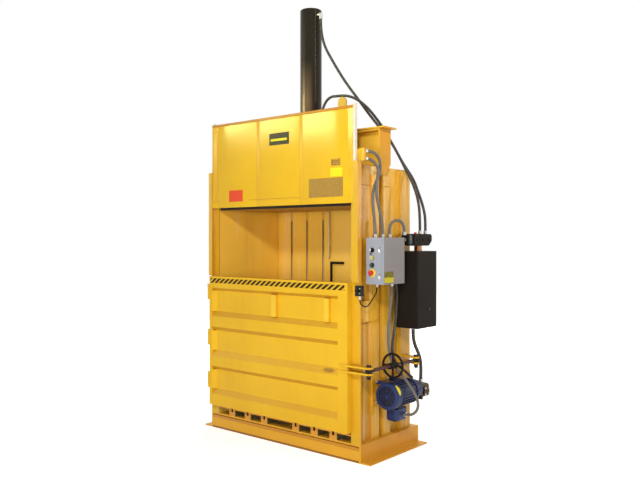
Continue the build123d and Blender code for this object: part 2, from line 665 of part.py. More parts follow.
def gate():
    """Sliding feed gate: sheet with seams, bottom bar and a frame behind."""
    z = (GATE_Z0, GATE_TOP_Z)
    back = GATE_FACE_Y + GATE_T
    sheet = block((-GATE_HALF_W, GATE_HALF_W), (GATE_FACE_Y, back), z)
    for x in GATE_SEAM_X:
        seam = (x - GATE_SEAM_W / 2, x + GATE_SEAM_W / 2)
        sheet -= block(seam, (GATE_FACE_Y - 1, GATE_FACE_Y + GATE_T / 2), (GATE_Z0 + GATE_BAR_H, GATE_TOP_Z + 1))
    bar = (GATE_FACE_Y - GATE_BAR_T, GATE_FACE_Y)
    sheet += block((-GATE_HALF_W, GATE_HALF_W), bar, (GATE_Z0, GATE_Z0 + GATE_BAR_H))
    inner = STRIP_X[0] - 2
    frame_y = (back, back + GATE_FRAME_D)
    for low in (GATE_Z0, GATE_TOP_Z - GATE_FRAME_T):
        sheet += block((-inner, inner), frame_y, (low, low + GATE_FRAME_T))
    for x in (-inner, *GATE_SEAM_X, inner - GATE_FRAME_T):
        sheet += block((x, x + GATE_FRAME_T), frame_y, z)
    keep("gate_panel", sheet)
    strips = []
    for x in both_sides(*STRIP_X):
        strips.append(block(x, (back, back + STRIP_D), (GATE_Z0, GATE_TOP_Z + STRIP_RISE)))
    keep("gate_guide_strips", *strips)


def door_outline(front, back):
    """Side view of the ribbed door, from the floor end to the top."""
    deep = front + DOOR_RECESS
    points = [(back, DOOR_Z[0]), (front, DOOR_Z[0]), (front, PANEL_BOTTOM_Z[0]), (deep, PANEL_BOTTOM_Z[1])]
    for rib in (RIB_LOW_Z, RIB_HIGH_Z):
        points += [(deep, rib[0]), (front, rib[1]), (front, rib[2]), (deep, rib[3])]
    points += [(deep, PANEL_TOP_Z[0]), (front, PANEL_TOP_Z[1]), (front, DOOR_Z[1]), (back, DOOR_Z[1])]
    return points


def door():
    """Bale door: skin plate, pressed ribs, end columns and hinge leaves."""
    front = FRONT_Y - DOOR_FRONT
    back = FRONT_Y - DOOR_BACK_GAP
    deep = front + DOOR_RECESS
    ribs = profile_x(door_outline(front, back), DOOR_FIELD_X)
    hollow_back = back - DOOR_SKIN_T
    hollows = ((DOOR_Z[0], DOOR_Z[0], PANEL_BOTTOM_Z[0], PANEL_BOTTOM_Z[1]), RIB_LOW_Z, RIB_HIGH_Z)
    hollows += ((PANEL_TOP_Z[0], PANEL_TOP_Z[1], DOOR_Z[1], DOOR_Z[1]),)
    inner_x = (DOOR_FIELD_X[0] + RIB_WALL_T, DOOR_FIELD_X[1] - RIB_WALL_T)
    for rib in hollows:
        low = rib[1] + RIB_WALL_T
        high = rib[2] - RIB_WALL_T
        cavity = [(hollow_back, low), (front + RIB_WALL_T, low), (front + RIB_WALL_T, high), (hollow_back, high)]
        ribs -= profile_x(cavity, inner_x)
    panel = ribs
    for x in ((DOOR_X[0], DOOR_FIELD_X[0]), (DOOR_FIELD_X[1], DOOR_X[1])):
        column = block(x, (front, back), DOOR_Z)
        inner = (x[0] + RIB_WALL_T, x[1] - RIB_WALL_T)
        core = (DOOR_Z[0] + RIB_WALL_T, DOOR_Z[1] - RIB_WALL_T)
        panel += column - block(inner, (front + RIB_WALL_T, hollow_back), core)
    bevel = [(DOOR_FIELD_X[0], front), (DOOR_FIELD_X[0] + DOOR_FIELD_BEVEL, deep), (DOOR_FIELD_X[0], deep)]
    fields = ((PANEL_BOTTOM_Z[1], RIB_LOW_Z[0]), (RIB_LOW_Z[3], RIB_HIGH_Z[0]), (RIB_HIGH_Z[3], PANEL_TOP_Z[0]))
    for field in fields:
        panel += profile_z(bevel, field)
    for x in STUD_X:
        panel += block(x, (deep - STUD_T, deep), (RIB_HIGH_Z[3], PANEL_TOP_Z[0]))
    for z in HINGE_Z:
        leaf_x = (HINGE_X, DOOR_X[0])
        leaf = block(leaf_x, (HINGE_Y - HINGE_LEAF_T / 2, HINGE_Y + HINGE_LEAF_T / 2), (z, z + KNUCKLE_H))
        knuckle = upright_rod(HINGE_X, HINGE_Y, (z, z + KNUCKLE_H), HINGE_R) + leaf
        panel += knuckle - upright_rod(HINGE_X, HINGE_Y, (z - 1, z + KNUCKLE_H + 1), HINGE_PIN_R + RUNNING_GAP)
    keep("door_panel", panel)


def hinge_parts():
    brackets = []
    pins = []
    for z in HINGE_Z:
        for low in (z - KNUCKLE_H - KNUCKLE_GAP, z + KNUCKLE_H + KNUCKLE_GAP):
            span = (low, low + KNUCKLE_H)
            web = (HINGE_X - HINGE_R, HINGE_X + HINGE_R - 5)
            knuckle = upright_rod(HINGE_X, HINGE_Y, span, HINGE_R) + block(web, (HINGE_Y, FRONT_Y), span)
            bore = upright_rod(HINGE_X, HINGE_Y, (low - 1, low + KNUCKLE_H + 1), HINGE_PIN_R + RUNNING_GAP)
            brackets.append(knuckle - bore)
        top = z + 2 * KNUCKLE_H + KNUCKLE_GAP
        pin = upright_rod(HINGE_X, HINGE_Y, (z - KNUCKLE_H - KNUCKLE_GAP, top), HINGE_PIN_R)
        pins.append(pin + upright_rod(HINGE_X, HINGE_Y, (top, top + 8), HINGE_R))
    keep("hinge_brackets", *brackets)
    keep("hinge_pins", *pins)


def latch_arms():
    """Two plates on the door's free edge, with the pin between them."""
    arms = []
    front = FRONT_Y - DOOR_FRONT
    reach = FRONT_PIN_Y + ARM_W / 2 + 12
    nose = LATCH_X + ARM_NOSE
    outline = [(ARM_X0, front - ARM_PROUD), (nose - ARM_PROUD, front - ARM_PROUD), (nose, FRONT_PIN_Y - 10)]
    outline += [(nose, reach - 16), (nose - 18, reach), (DOOR_X[1], reach), (DOOR_X[1], front)]
    outline += [(ARM_X0, front)]
    for z in ARM_Z:
        arm = profile_z(outline, (z, z + ARM_T))
        arms.append(arm - upright_rod(LATCH_X, FRONT_PIN_Y, (z - 1, z + ARM_T + 1), LATCH_PIN_R + RUNNING_GAP))
    keep("latch_arms", *arms)


def latch_pin(y):
    """Headed pin with a knob at each end."""
    pin = upright_rod(LATCH_X, y, (PIN_Z0, PIN_Z1), LATCH_PIN_R)
    pin += upright_rod(LATCH_X, y, (PIN_Z0, PIN_Z0 + PIN_HEAD_H), PIN_HEAD_R)
    return pin + upright_rod(LATCH_X, y, (PIN_Z1 - PIN_HEAD_H, PIN_Z1), PIN_HEAD_R)


def latch_fixings():
    keep("latch_front_pin", latch_pin(FRONT_PIN_Y))
    keep("latch_rear_pin", latch_pin(REAR_PIN_Y))
    plates = []
    y = (REAR_PIN_Y - BRACKET_HALF_W, REAR_PIN_Y + BRACKET_HALF_W)
    tip = LATCH_X + BRACKET_HALF_W
    outline = [(RIB_X, REAR_PIN_Y), (LATCH_X - 6, y[0]), (tip - 10, y[0] + 10), (tip, REAR_PIN_Y)]
    outline += [(tip - 10, y[1] - 10), (LATCH_X - 6, y[1]), (RIB_X, y[1] + BRACKET_FLARE)]
    for z in ARM_Z:
        plate = profile_z(outline, (z, z + ARM_T))
        plates.append(plate - upright_rod(LATCH_X, REAR_PIN_Y, (z - 1, z + ARM_T + 1), LATCH_PIN_R + RUNNING_GAP))
    keep("latch_bracket", *plates)


def latch_screw():
    """Two threaded bars that meet inside the handwheel, a hook in front and an eye behind."""
    eye_z = (LATCH_Z - EYE_H / 2, LATCH_Z + EYE_H / 2)
    bore_z = (eye_z[0] - 1, eye_z[1] + 1)
    half = SCREW_MID_GAP / 2
    front_bar = along_y(LATCH_X, (FRONT_PIN_Y + 20, WHEEL_Y - half), LATCH_Z, SCREW_R)
    hook = upright_rod(LATCH_X, FRONT_PIN_Y, eye_z, EYE_R)
    hook += front_bar
    hook -= upright_rod(LATCH_X, FRONT_PIN_Y, bore_z, LATCH_PIN_R + HOOK_CLEAR)
    mouth_y = (FRONT_PIN_Y - LATCH_PIN_R - HOOK_CLEAR, FRONT_PIN_Y + LATCH_PIN_R + HOOK_CLEAR)
    hook -= block((LATCH_X - EYE_R - 1, LATCH_X), mouth_y, bore_z)
    rear_bar = along_y(LATCH_X, (WHEEL_Y + half, REAR_PIN_Y - 20), LATCH_Z, SCREW_R)
    eye = upright_rod(LATCH_X, REAR_PIN_Y, eye_z, EYE_R) + rear_bar
    eye -= upright_rod(LATCH_X, REAR_PIN_Y, bore_z, LATCH_PIN_R + RUNNING_GAP)
    keep("latch_screw", hook, eye)


def handwheel():
    """Hub and spokes, with the rim turned in two halves so that they fuse cleanly."""
    centre = Pos(LATCH_X, WHEEL_Y, LATCH_Z)
    hub_y = (WHEEL_Y - WHEEL_HUB_L / 2, WHEEL_Y + WHEEL_HUB_L / 2)
    wheel = along_y(LATCH_X, hub_y, LATCH_Z, WHEEL_HUB_R)
    for turn in range(SPOKES):
        angle = turn * 360 / SPOKES
        wheel += centre * Rot(0, angle, 0) * Pos(0, 0, WHEEL_R / 2) * Cylinder(SPOKE_R, WHEEL_R)
    half_rim = revolve(Pos(WHEEL_R, 0, 0) * Circle(WHEEL_RIM_R), Axis.Y, 180)
    for turn in (0, 180):
        wheel += centre * Rot(0, turn, 0) * half_rim
    wheel -= along_y(LATCH_X, (hub_y[0] - 1, hub_y[1] + 1), LATCH_Z, SCREW_R + RUNNING_GAP)
    keep("handwheel", wheel)


def enclosure():
    """Steel box on two rails, its lid on a rear hinge and the gear inside."""
    lid_x = (BOX_X[1] - LID_D, BOX_X[1])
    body_x = (BOX_X[0], lid_x[0] - LID_GAP)
    inner_y = (BOX_Y[0] + BOX_T, BOX_Y[1] - BOX_T)
    inner_z = (BOX_Z[0] + BOX_T, BOX_Z[1] - BOX_T)
    body = block(body_x, BOX_Y, BOX_Z)
    body -= block((body_x[0] + BOX_T, body_x[1] + 1), inner_y, inner_z)
    for z in (SELECTOR_Z, LAMP_BUTTON_Z, START_BUTTON_Z, STOP_BUTTON_Z):
        body -= along_y(BUTTON_X, (BOX_Y[0] - 1, BOX_Y[0] + BOX_T + 1), z, SHAFT_R + RUNNING_GAP)
    for z in (BOX_Z[0] + BOX_FOOT_H, BOX_Z[1] - 2 * BOX_FOOT_H):
        rail_y = (depth(RIB_1_Y)[0], BOX_Y[1])
        body += block((RIB_X, BOX_X[0]), rail_y, (z, z + BOX_FOOT_H))
    hinge_y = BOX_Y[1] + LID_HINGE_R
    hinge_x = lid_x[0] - LID_GAP / 2
    pin_r = LID_HINGE_R / 2
    for z in LID_HINGE_Z:
        low = upright_rod(hinge_x, hinge_y, (z - LID_KNUCKLE_H, z), LID_HINGE_R)
        low += block((hinge_x - LID_LEAF, hinge_x), (BOX_Y[1] - 1, BOX_Y[1] + LID_LEAF_T), (z - LID_KNUCKLE_H, z))
        low += upright_rod(hinge_x, hinge_y, (z, z + LID_KNUCKLE_H), pin_r)
        body += low
    keep("enclosure_box", body)
    lid = block(lid_x, BOX_Y, BOX_Z)
    lid -= block((lid_x[0] - 1, lid_x[1] - BOX_T), inner_y, inner_z)
    for z in LID_HINGE_Z:
        span = (z + LID_KNUCKLE_GAP, z + LID_KNUCKLE_H)
        knuckle = upright_rod(hinge_x, hinge_y, span, LID_HINGE_R)
        knuckle += block((hinge_x, hinge_x + LID_LEAF), (BOX_Y[1] - 1, BOX_Y[1] + LID_LEAF_T), span)
        lid += knuckle
        bore = (z, z + LID_KNUCKLE_H + 1)
        lid -= upright_rod(hinge_x, hinge_y, bore, pin_r + RUNNING_GAP)
    keep("enclosure_lid", lid)
    back = body_x[0] + BOX_T
    face = back + GEAR_PLATE_T
    plate_y = (BOX_Y[0] + GEAR_PLATE_EDGE, BOX_Y[1] - GEAR_PLATE_EDGE)
    gear = [block((back, face), plate_y, (BOX_Z[0] + GEAR_PLATE_EDGE, BOX_Z[1] - GEAR_PLATE_EDGE))]
    for z in GEAR_Z:
        gear.append(block((face, face + GEAR_DEPTH), GEAR_Y, z))
    keep("control_gear", *gear)


def button(name, z):
    """Push button: a round cap on a short shaft through the box wall."""
    out = BOX_Y[0] - COLLAR_T - BUTTON_OUT
    cap = along_y(BUTTON_X, (out - CAP_HEAD_T, out), z, BUTTON_R)
    cap += along_y(BUTTON_X, (out, BOX_Y[0] + BOX_T + SHAFT_IN), z, SHAFT_R)
    keep(name, cap)


def controls():
    front = BOX_Y[0] - COLLAR_T
    shaft_end = BOX_Y[0] + BOX_T + SHAFT_IN
    collars = []
    sizes = {SELECTOR_Z: COLLAR_R, LAMP_BUTTON_Z: COLLAR_R, START_BUTTON_Z: COLLAR_R, STOP_BUTTON_Z: STOP_RING_R}
    for z, radius in sizes.items():
        bore = along_y(BUTTON_X, (front - 1, BOX_Y[0] + 1), z, SHAFT_R + RUNNING_GAP)
        collars.append(along_y(BUTTON_X, (front, BOX_Y[0]), z, radius) - bore)
    keep("button_collars", *collars)
    button("lamp_button", LAMP_BUTTON_Z)
    button("start_button", START_BUTTON_Z)
    head = (front - STOP_HEAD_OUT[1], front - STOP_HEAD_OUT[0])
    mushroom = along_y(BUTTON_X, head, STOP_BUTTON_Z, STOP_HEAD_R)
    rim = mushroom.edges().filter_by(GeomType.CIRCLE).sort_by(Axis.Y)[0]
    mushroom = chamfer(rim, 5)
    mushroom += along_y(BUTTON_X, (head[1], shaft_end), STOP_BUTTON_Z, SHAFT_R)
    keep("stop_button", mushroom)
    knob = along_y(BUTTON_X, (front - KNOB_T, front), SELECTOR_Z, BUTTON_R)
    half_w, half_h, out = KNOB_GRIP
    grip_z = (SELECTOR_Z - half_h, SELECTOR_Z + half_h)
    knob += block((BUTTON_X - half_w, BUTTON_X + half_w), (front - out, front - KNOB_T), grip_z)
    knob += along_y(BUTTON_X, (front, shaft_end), SELECTOR_Z, SHAFT_R)
    keep("key_selector", knob)


def switches():
    body = block(DOOR_SWITCH_X, (FRONT_Y - DOOR_SWITCH_D, FRONT_Y), DOOR_SWITCH_Z)
    keep("door_switch", fillet(body.edges().filter_by(Axis.Y), SWITCH_ROUND))
    behind = FRONT_Y + SWITCH_TAB_T
    body = block(GATE_SWITCH_X, (behind, behind + GATE_SWITCH_D), GATE_SWITCH_Z)
    keep("gate_switch", fillet(body.edges().filter_by(Axis.Y), SWITCH_ROUND))


def power_pack():
    """Oil tank on two rails, its breather and the valve block on a stem."""
    outer = block(TANK_X, TANK_Y, TANK_Z)
    outer = fillet(outer.edges().filter_by(Axis.Z), TANK_ROUND)
    inner_x = (TANK_X[0] + TANK_T, TANK_X[1] - TANK_T)
    inner_y = (TANK_Y[0] + TANK_T, TANK_Y[1] - TANK_T)
    tank = outer - block(inner_x, inner_y, (TANK_Z[0] + TANK_T, TANK_Z[1] - TANK_T))
    for z in (TANK_Z[0] + TANK_RAIL_IN[0], TANK_Z[1] - TANK_RAIL_IN[1]):
        tank += block((RIB_X, TANK_X[0]), depth(REAR_POST_Y), (z, z + TANK_RAIL_H))
    keep("oil_tank", tank)
    neck = (TANK_Z[1], TANK_Z[1] + BREATHER_H[0])
    cap = upright_rod(BREATHER[0], BREATHER[1], neck, BREATHER_R[0])
    cap += upright_rod(BREATHER[0], BREATHER[1], (neck[1], TANK_Z[1] + BREATHER_H[1]), BREATHER_R[1])
    keep("breather_cap", cap)
    stem_x = (BLOCK_X[0] + BLOCK_X[1]) / 2
    keep("valve_stem", upright_rod(stem_x, STEM_Y, (TANK_Z[1], BLOCK_Z[0]), STEM_R))
    low, bevel, run = VALVE_FACE
    outline = [(BLOCK_Y[0], BLOCK_Z[0]), (BLOCK_Y[1] - run, BLOCK_Z[0]), (BLOCK_Y[1], BLOCK_Z[0] + bevel)]
    outline += [(BLOCK_Y[1], BLOCK_Z[1] - low), (BLOCK_Y[1] - low, BLOCK_Z[1]), (BLOCK_Y[0], BLOCK_Z[1])]
    valve = profile_x(outline, BLOCK_X)
    middle_z = (BLOCK_Z[0] + BLOCK_Z[1]) / 2
    coil_x = (stem_x - COIL_W / 2, stem_x + COIL_W / 2)
    valve += block(coil_x, (COIL_Y0, BLOCK_Y[0]), (middle_z - COIL_H / 2, middle_z + COIL_H / 2))
    keep("valve_block", valve)


def motor():
    """Finned motor with a fan cover in front and a bell housing behind."""
    cover_back = MOTOR_Y[0] + FAN_COVER_L
    bell_front = MOTOR_Y[1] - END_BELL_L
    body = along_y(MOTOR_X, (cover_back, MOTOR_Y[1]), MOTOR_Z, MOTOR_R)
    cover = along_y(MOTOR_X, (MOTOR_Y[0], cover_back), MOTOR_Z, FAN_COVER_R)
    rim = cover.edges().filter_by(GeomType.CIRCLE).sort_by(Axis.Y)[0]
    body += fillet(rim, FAN_COVER_ROUND)
    middle = Pos(MOTOR_X, (cover_back + bell_front) / 2, MOTOR_Z)
    for turn in range(FINS):
        fin = Pos(0, 0, MOTOR_R) * Box(FIN_T, bell_front - cover_back, 2 * FIN_H)
        body += middle * Rot(0, turn * 360 / FINS, 0) * fin
    body += along_y(MOTOR_X, (bell_front, MOTOR_Y[1]), MOTOR_Z, MOTOR_R + FIN_H)
    body += along_y(MOTOR_X, (MOTOR_Y[1], PUMP_Y[0]), MOTOR_Z, BELL_R)
    for y in MOTOR_FOOT_Y:
        for z in (MOTOR_Z - MOTOR_FOOT_Z, MOTOR_Z + MOTOR_FOOT_Z - MOTOR_FOOT_H):
            foot = ((RIB_X + MOTOR_PLATE_T, MOTOR_X), (y, y + MOTOR_FOOT_L), (z, z + MOTOR_FOOT_H))
            body += block(*foot)
    keep("motor", body)
    edge = MOTOR_FOOT_Z + MOTOR_PLATE_EDGE
    plate_x = (RIB_X, RIB_X + MOTOR_PLATE_T)
    keep("motor_plate", block(plate_x, depth((RIB_1_Y[0], REAR_POST_Y[1])), (MOTOR_Z - edge, MOTOR_Z + edge)))


def terminal_box():
    box = block(TERMINAL_X, TERMINAL_Y, TERMINAL_Z)
    box = fillet(box.edges().filter_by(Axis.Z), TERMINAL_ROUND)
    box = fillet(box.faces().sort_by(Axis.Z)[0].edges(), TERMINAL_BOTTOM_ROUND)
    neck_x = (MOTOR_X - TERMINAL_NECK_HALF_W, MOTOR_X + TERMINAL_NECK_HALF_W)
    neck_z = (TERMINAL_Z[1], MOTOR_Z - MOTOR_R - FIN_H - 1)
    keep("terminal_box", box + block(neck_x, TERMINAL_NECK_Y, neck_z))


def pump():
    body = block((MOTOR_X - PUMP_HALF_W, MOTOR_X + PUMP_HALF_W), PUMP_Y, PUMP_Z)
    body = fillet(body.edges().filter_by(Axis.Y), PUMP_ROUND)
    flange_x = (MOTOR_X - PUMP_FLANGE_HALF_W, MOTOR_X + PUMP_FLANGE_HALF_W)
    flange_z = (PUMP_Z[0] - PUMP_FLANGE_DROP, PUMP_Z[1] - PUMP_FLANGE_DROP)
    keep("pump", body + block(flange_x, (PUMP_Y[0], PUMP_Y[0] + PUMP_FLANGE_T), flange_z))


def ejector_bar():
    """Bent pull bar of the bale ejector, which lifts in two eyes."""
    bar = upright_rod(EJECTOR_X, EJECTOR_Y, (EJECTOR_Z[0], EJECTOR_Z[1]), EJECTOR_R)
    arm_z = EJECTOR_Z[1] - EJECTOR_R
    bar += along_x((EJECTOR_X, EJECTOR_ARM_X), EJECTOR_Y, arm_z, EJECTOR_R)
    lift, height, width = EJECTOR_COLLAR
    seat = EJECTOR_GUIDE_Z[1] + EJECTOR_EYE_H
    bar += upright_rod(EJECTOR_X, EJECTOR_Y, (seat + lift, seat + height), EJECTOR_R + width)
    keep("ejector_bar", bar)
    pipe = upright_rod(PIPE_X, BACK_Y - PIPE_STAND - PIPE_R, PIPE_Z, PIPE_R)
    keep("grease_pipe", pipe)


def fitting(start, way, radius, length=None):
    """A conduit or hose connector that ends where its cord starts."""
    reach = length or FITTING_L
    middle = Vector(*start) - Vector(*way) * (reach / 2)
    plane = Plane(origin=middle, z_dir=Vector(*way))
    return plane * Cylinder(radius, reach)


def port_fitting(start, side, clear):
    """An elbow from the side of the cylinder to where a hose starts."""
    height = start[2] - side * clear
    port = along_x((BARREL_R - 8, start[0]), start[1], height, PORT_R)
    port -= upright_rod(0, 0, (height - 2 * PORT_R, height + 2 * PORT_R), BARREL_R)
    return port + fitting(start, (0, 0, side), HOSE_FITTING_R, clear + 6)


def valve_elbow(start):
    """An elbow from the side of the valve block to where the pump's hose starts."""
    turn_y = start[1] + FITTING_L
    elbow = fitting(start, (0, -1, 0), HOSE_FITTING_R) + along_x((start[0], BLOCK_X[0]), turn_y, start[2], PORT_R)
    return elbow + Pos(start[0], turn_y, start[2]) * Sphere(HOSE_FITTING_R)


def pump_elbow(end, before):
    """A short stub on the pump that leans towards the hose."""
    way = (Vector(*before) - Vector(*end)).normalized()
    corner = Vector(*end) - way * FITTING_L
    elbow = fitting(end, way, HOSE_FITTING_R)
    elbow += Pos(*corner) * Sphere(HOSE_FITTING_R)
    return elbow + upright_rod(corner.X, corner.Y, (PUMP_Z[1], corner.Z), HOSE_FITTING_R)


def connectors():
    up, down, back, right = (0, 0, 1), (0, 0, -1), (0, 1, 0), (1, 0, 0)
    ends = {name: (points[0], points[-1]) for name, (points, size) in CORDS.items()}
    steel = [fitting(ends[name][0], back, FITTING_R) for name in ("conduit_a", "conduit_b")]
    steel += [fitting(ends[name][1], up, FITTING_R) for name in ("conduit_a", "conduit_b", "conduit_arch")]
    steel.append(fitting(ends["conduit_arch"][0], up, FITTING_R))
    steel.append(fitting(ends["motor_conduit"][0], down, FITTING_R))
    steel.append(fitting(ends["motor_conduit"][1], right, FITTING_R))
    steel += [fitting(end, down, CABLE_D) for end in ends["switch_cable"]]
    keep("conduit_fittings", *steel)
    hose = [fitting(ends[name][1], up, HOSE_FITTING_R) for name in ("top_hose", "lower_hose")]
    hose.append(fitting(ends["suction_hose"][1], up, SUCTION_FITTING_R))
    hose.append(fitting(ends["suction_hose"][0], down, SUCTION_FITTING_R))
    hose.append(valve_elbow(ends["pump_hose"][0]))
    hose.append(pump_elbow(ends["pump_hose"][1], CORDS["pump_hose"][0][-2]))
    hose.append(port_fitting(ends["top_hose"][0], -1, PORT_REACH))
    hose.append(port_fitting(ends["lower_hose"][0], 1, PORT_REACH - 10))
    keep("hose_fittings", *hose)


def cord_tube(name, points, size):
    """A cord as straight runs joined by arcs as large as the runs allow."""
    spots = [Vector(*point) for point in points]
    radii = []
    for before, here, after in zip(spots, spots[1:], spots[2:]):
        turn = math.radians((here - before).get_angle(after - here))
        shorter = min((here - before).length, (after - here).length)
        radii.append(0.45 * shorter / math.tan(turn / 2))
    path = FilletPolyline(*spots, radius=radii)
    section = Plane(origin=spots[0], z_dir=spots[1] - spots[0]) * Circle(size / 2)
    tube = sweep(section, path=path)
    expected = math.pi * size * size / 4 * path.length
    share = tube.volume / expected
    print(name, "length", round(path.length), "least radius", round(min(radii)), "volume share", round(share, 4))
    keep(name, tube)


def make_all():
    base_sills()
    base_beams()
    chamber_floor()
    side_walls()
    back_wall()
    back_stiffeners()
    front_uprights()
    side_ribs()
    crossbeam()
    hose_post()
    cylinder()
    ram()
    gate()
    door()
    hinge_parts()
    latch_arms()
    latch_fixings()
    latch_screw()
    handwheel()
    enclosure()
    controls()
    switches()
    power_pack()
    motor()
    terminal_box()
    pump()
    ejector_bar()
    connectors()
    for name, (points, size) in CORDS.items():
        cord_tube(name, points, size)


make_all()
os.makedirs("parts", exist_ok=True)
for name, shape in PARTS.items():
    export_step(shape, f"parts/{name}.step")
print(len(PARTS), "nodes")
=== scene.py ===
"""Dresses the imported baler: paint, hoses, fastenings, trim, studio and camera."""
import math

import bmesh
import bpy
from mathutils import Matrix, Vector


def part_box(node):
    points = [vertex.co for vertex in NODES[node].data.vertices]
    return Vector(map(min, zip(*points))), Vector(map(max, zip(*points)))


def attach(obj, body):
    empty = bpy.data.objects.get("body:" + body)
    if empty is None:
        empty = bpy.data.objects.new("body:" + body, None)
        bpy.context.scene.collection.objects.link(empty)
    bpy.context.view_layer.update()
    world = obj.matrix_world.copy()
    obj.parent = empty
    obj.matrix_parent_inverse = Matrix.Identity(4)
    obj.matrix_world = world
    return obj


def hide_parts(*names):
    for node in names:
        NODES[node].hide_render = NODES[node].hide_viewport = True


bl_info = {
    "name": "Card Baler Dressing",
    "version": (1, 0, 0),
    "blender": (4, 5, 0),
    "location": "3D View > Sidebar > Baler",
    "description": "Adds the finishes and the fine pieces to the model of an upright card baler",
    "category": "Object",
}

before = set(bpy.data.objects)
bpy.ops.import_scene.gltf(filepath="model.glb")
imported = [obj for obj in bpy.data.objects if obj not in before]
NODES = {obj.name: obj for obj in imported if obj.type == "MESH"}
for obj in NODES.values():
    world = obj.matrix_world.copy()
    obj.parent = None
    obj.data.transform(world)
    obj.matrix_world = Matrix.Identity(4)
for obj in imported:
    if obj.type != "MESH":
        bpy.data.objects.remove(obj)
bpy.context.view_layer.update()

# Places read from the frame, in metres
GATE_LEFT_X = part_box("gate_panel")[0].x
GATE_RIGHT_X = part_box("gate_panel")[1].x
SWITCH_LOW, SWITCH_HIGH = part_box("door_switch")
VALVE_LOW, VALVE_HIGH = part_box("valve_block")
BOX_FRONT_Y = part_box("enclosure_box")[0].y
LID_SIDE_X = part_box("enclosure_lid")[1].x
SELECTOR_FRONT_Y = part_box("key_selector")[0].y
LAMP_FRONT_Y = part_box("lamp_button")[0].y
TANK_SIDE_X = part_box("oil_tank")[1].x
MOTOR_FRONT_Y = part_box("motor")[0].y
PUMP_SIDE_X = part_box("pump")[1].x

# Places that the solids have and the frame doesn't name, in metres
SHEET_Y = -0.438
SHEET_FOOT_Z, SHEET_TOP_Z = 2.055, 2.735
GATE_SEAM_X = -0.236
GATE_SHEET_WIDTH = 0.497
DOOR_FACE_Y = -0.464
RIB_FACE_X = 0.813
BAY_FACE_X = 0.801
SILL_FACE_X = 0.854
FLANGE_TOP_Z = 2.656
MOTOR_X, MOTOR_Z = 0.976, 0.505
PUMP_Y, PUMP_Z = 0.245, 0.482
WIRE_SLOTS_X = (0.183, 0.385, 0.583)
CHANNEL_HALF_WIDTH = 0.0497

# Sizes that bolts and weld beads share, in metres, and how far a bead narrows between its ripples
WASHER_THICK = 0.0024
HEAD_SEAT = 0.002
BEAD_PITCH = 0.006
BEAD_WAIST = 0.82

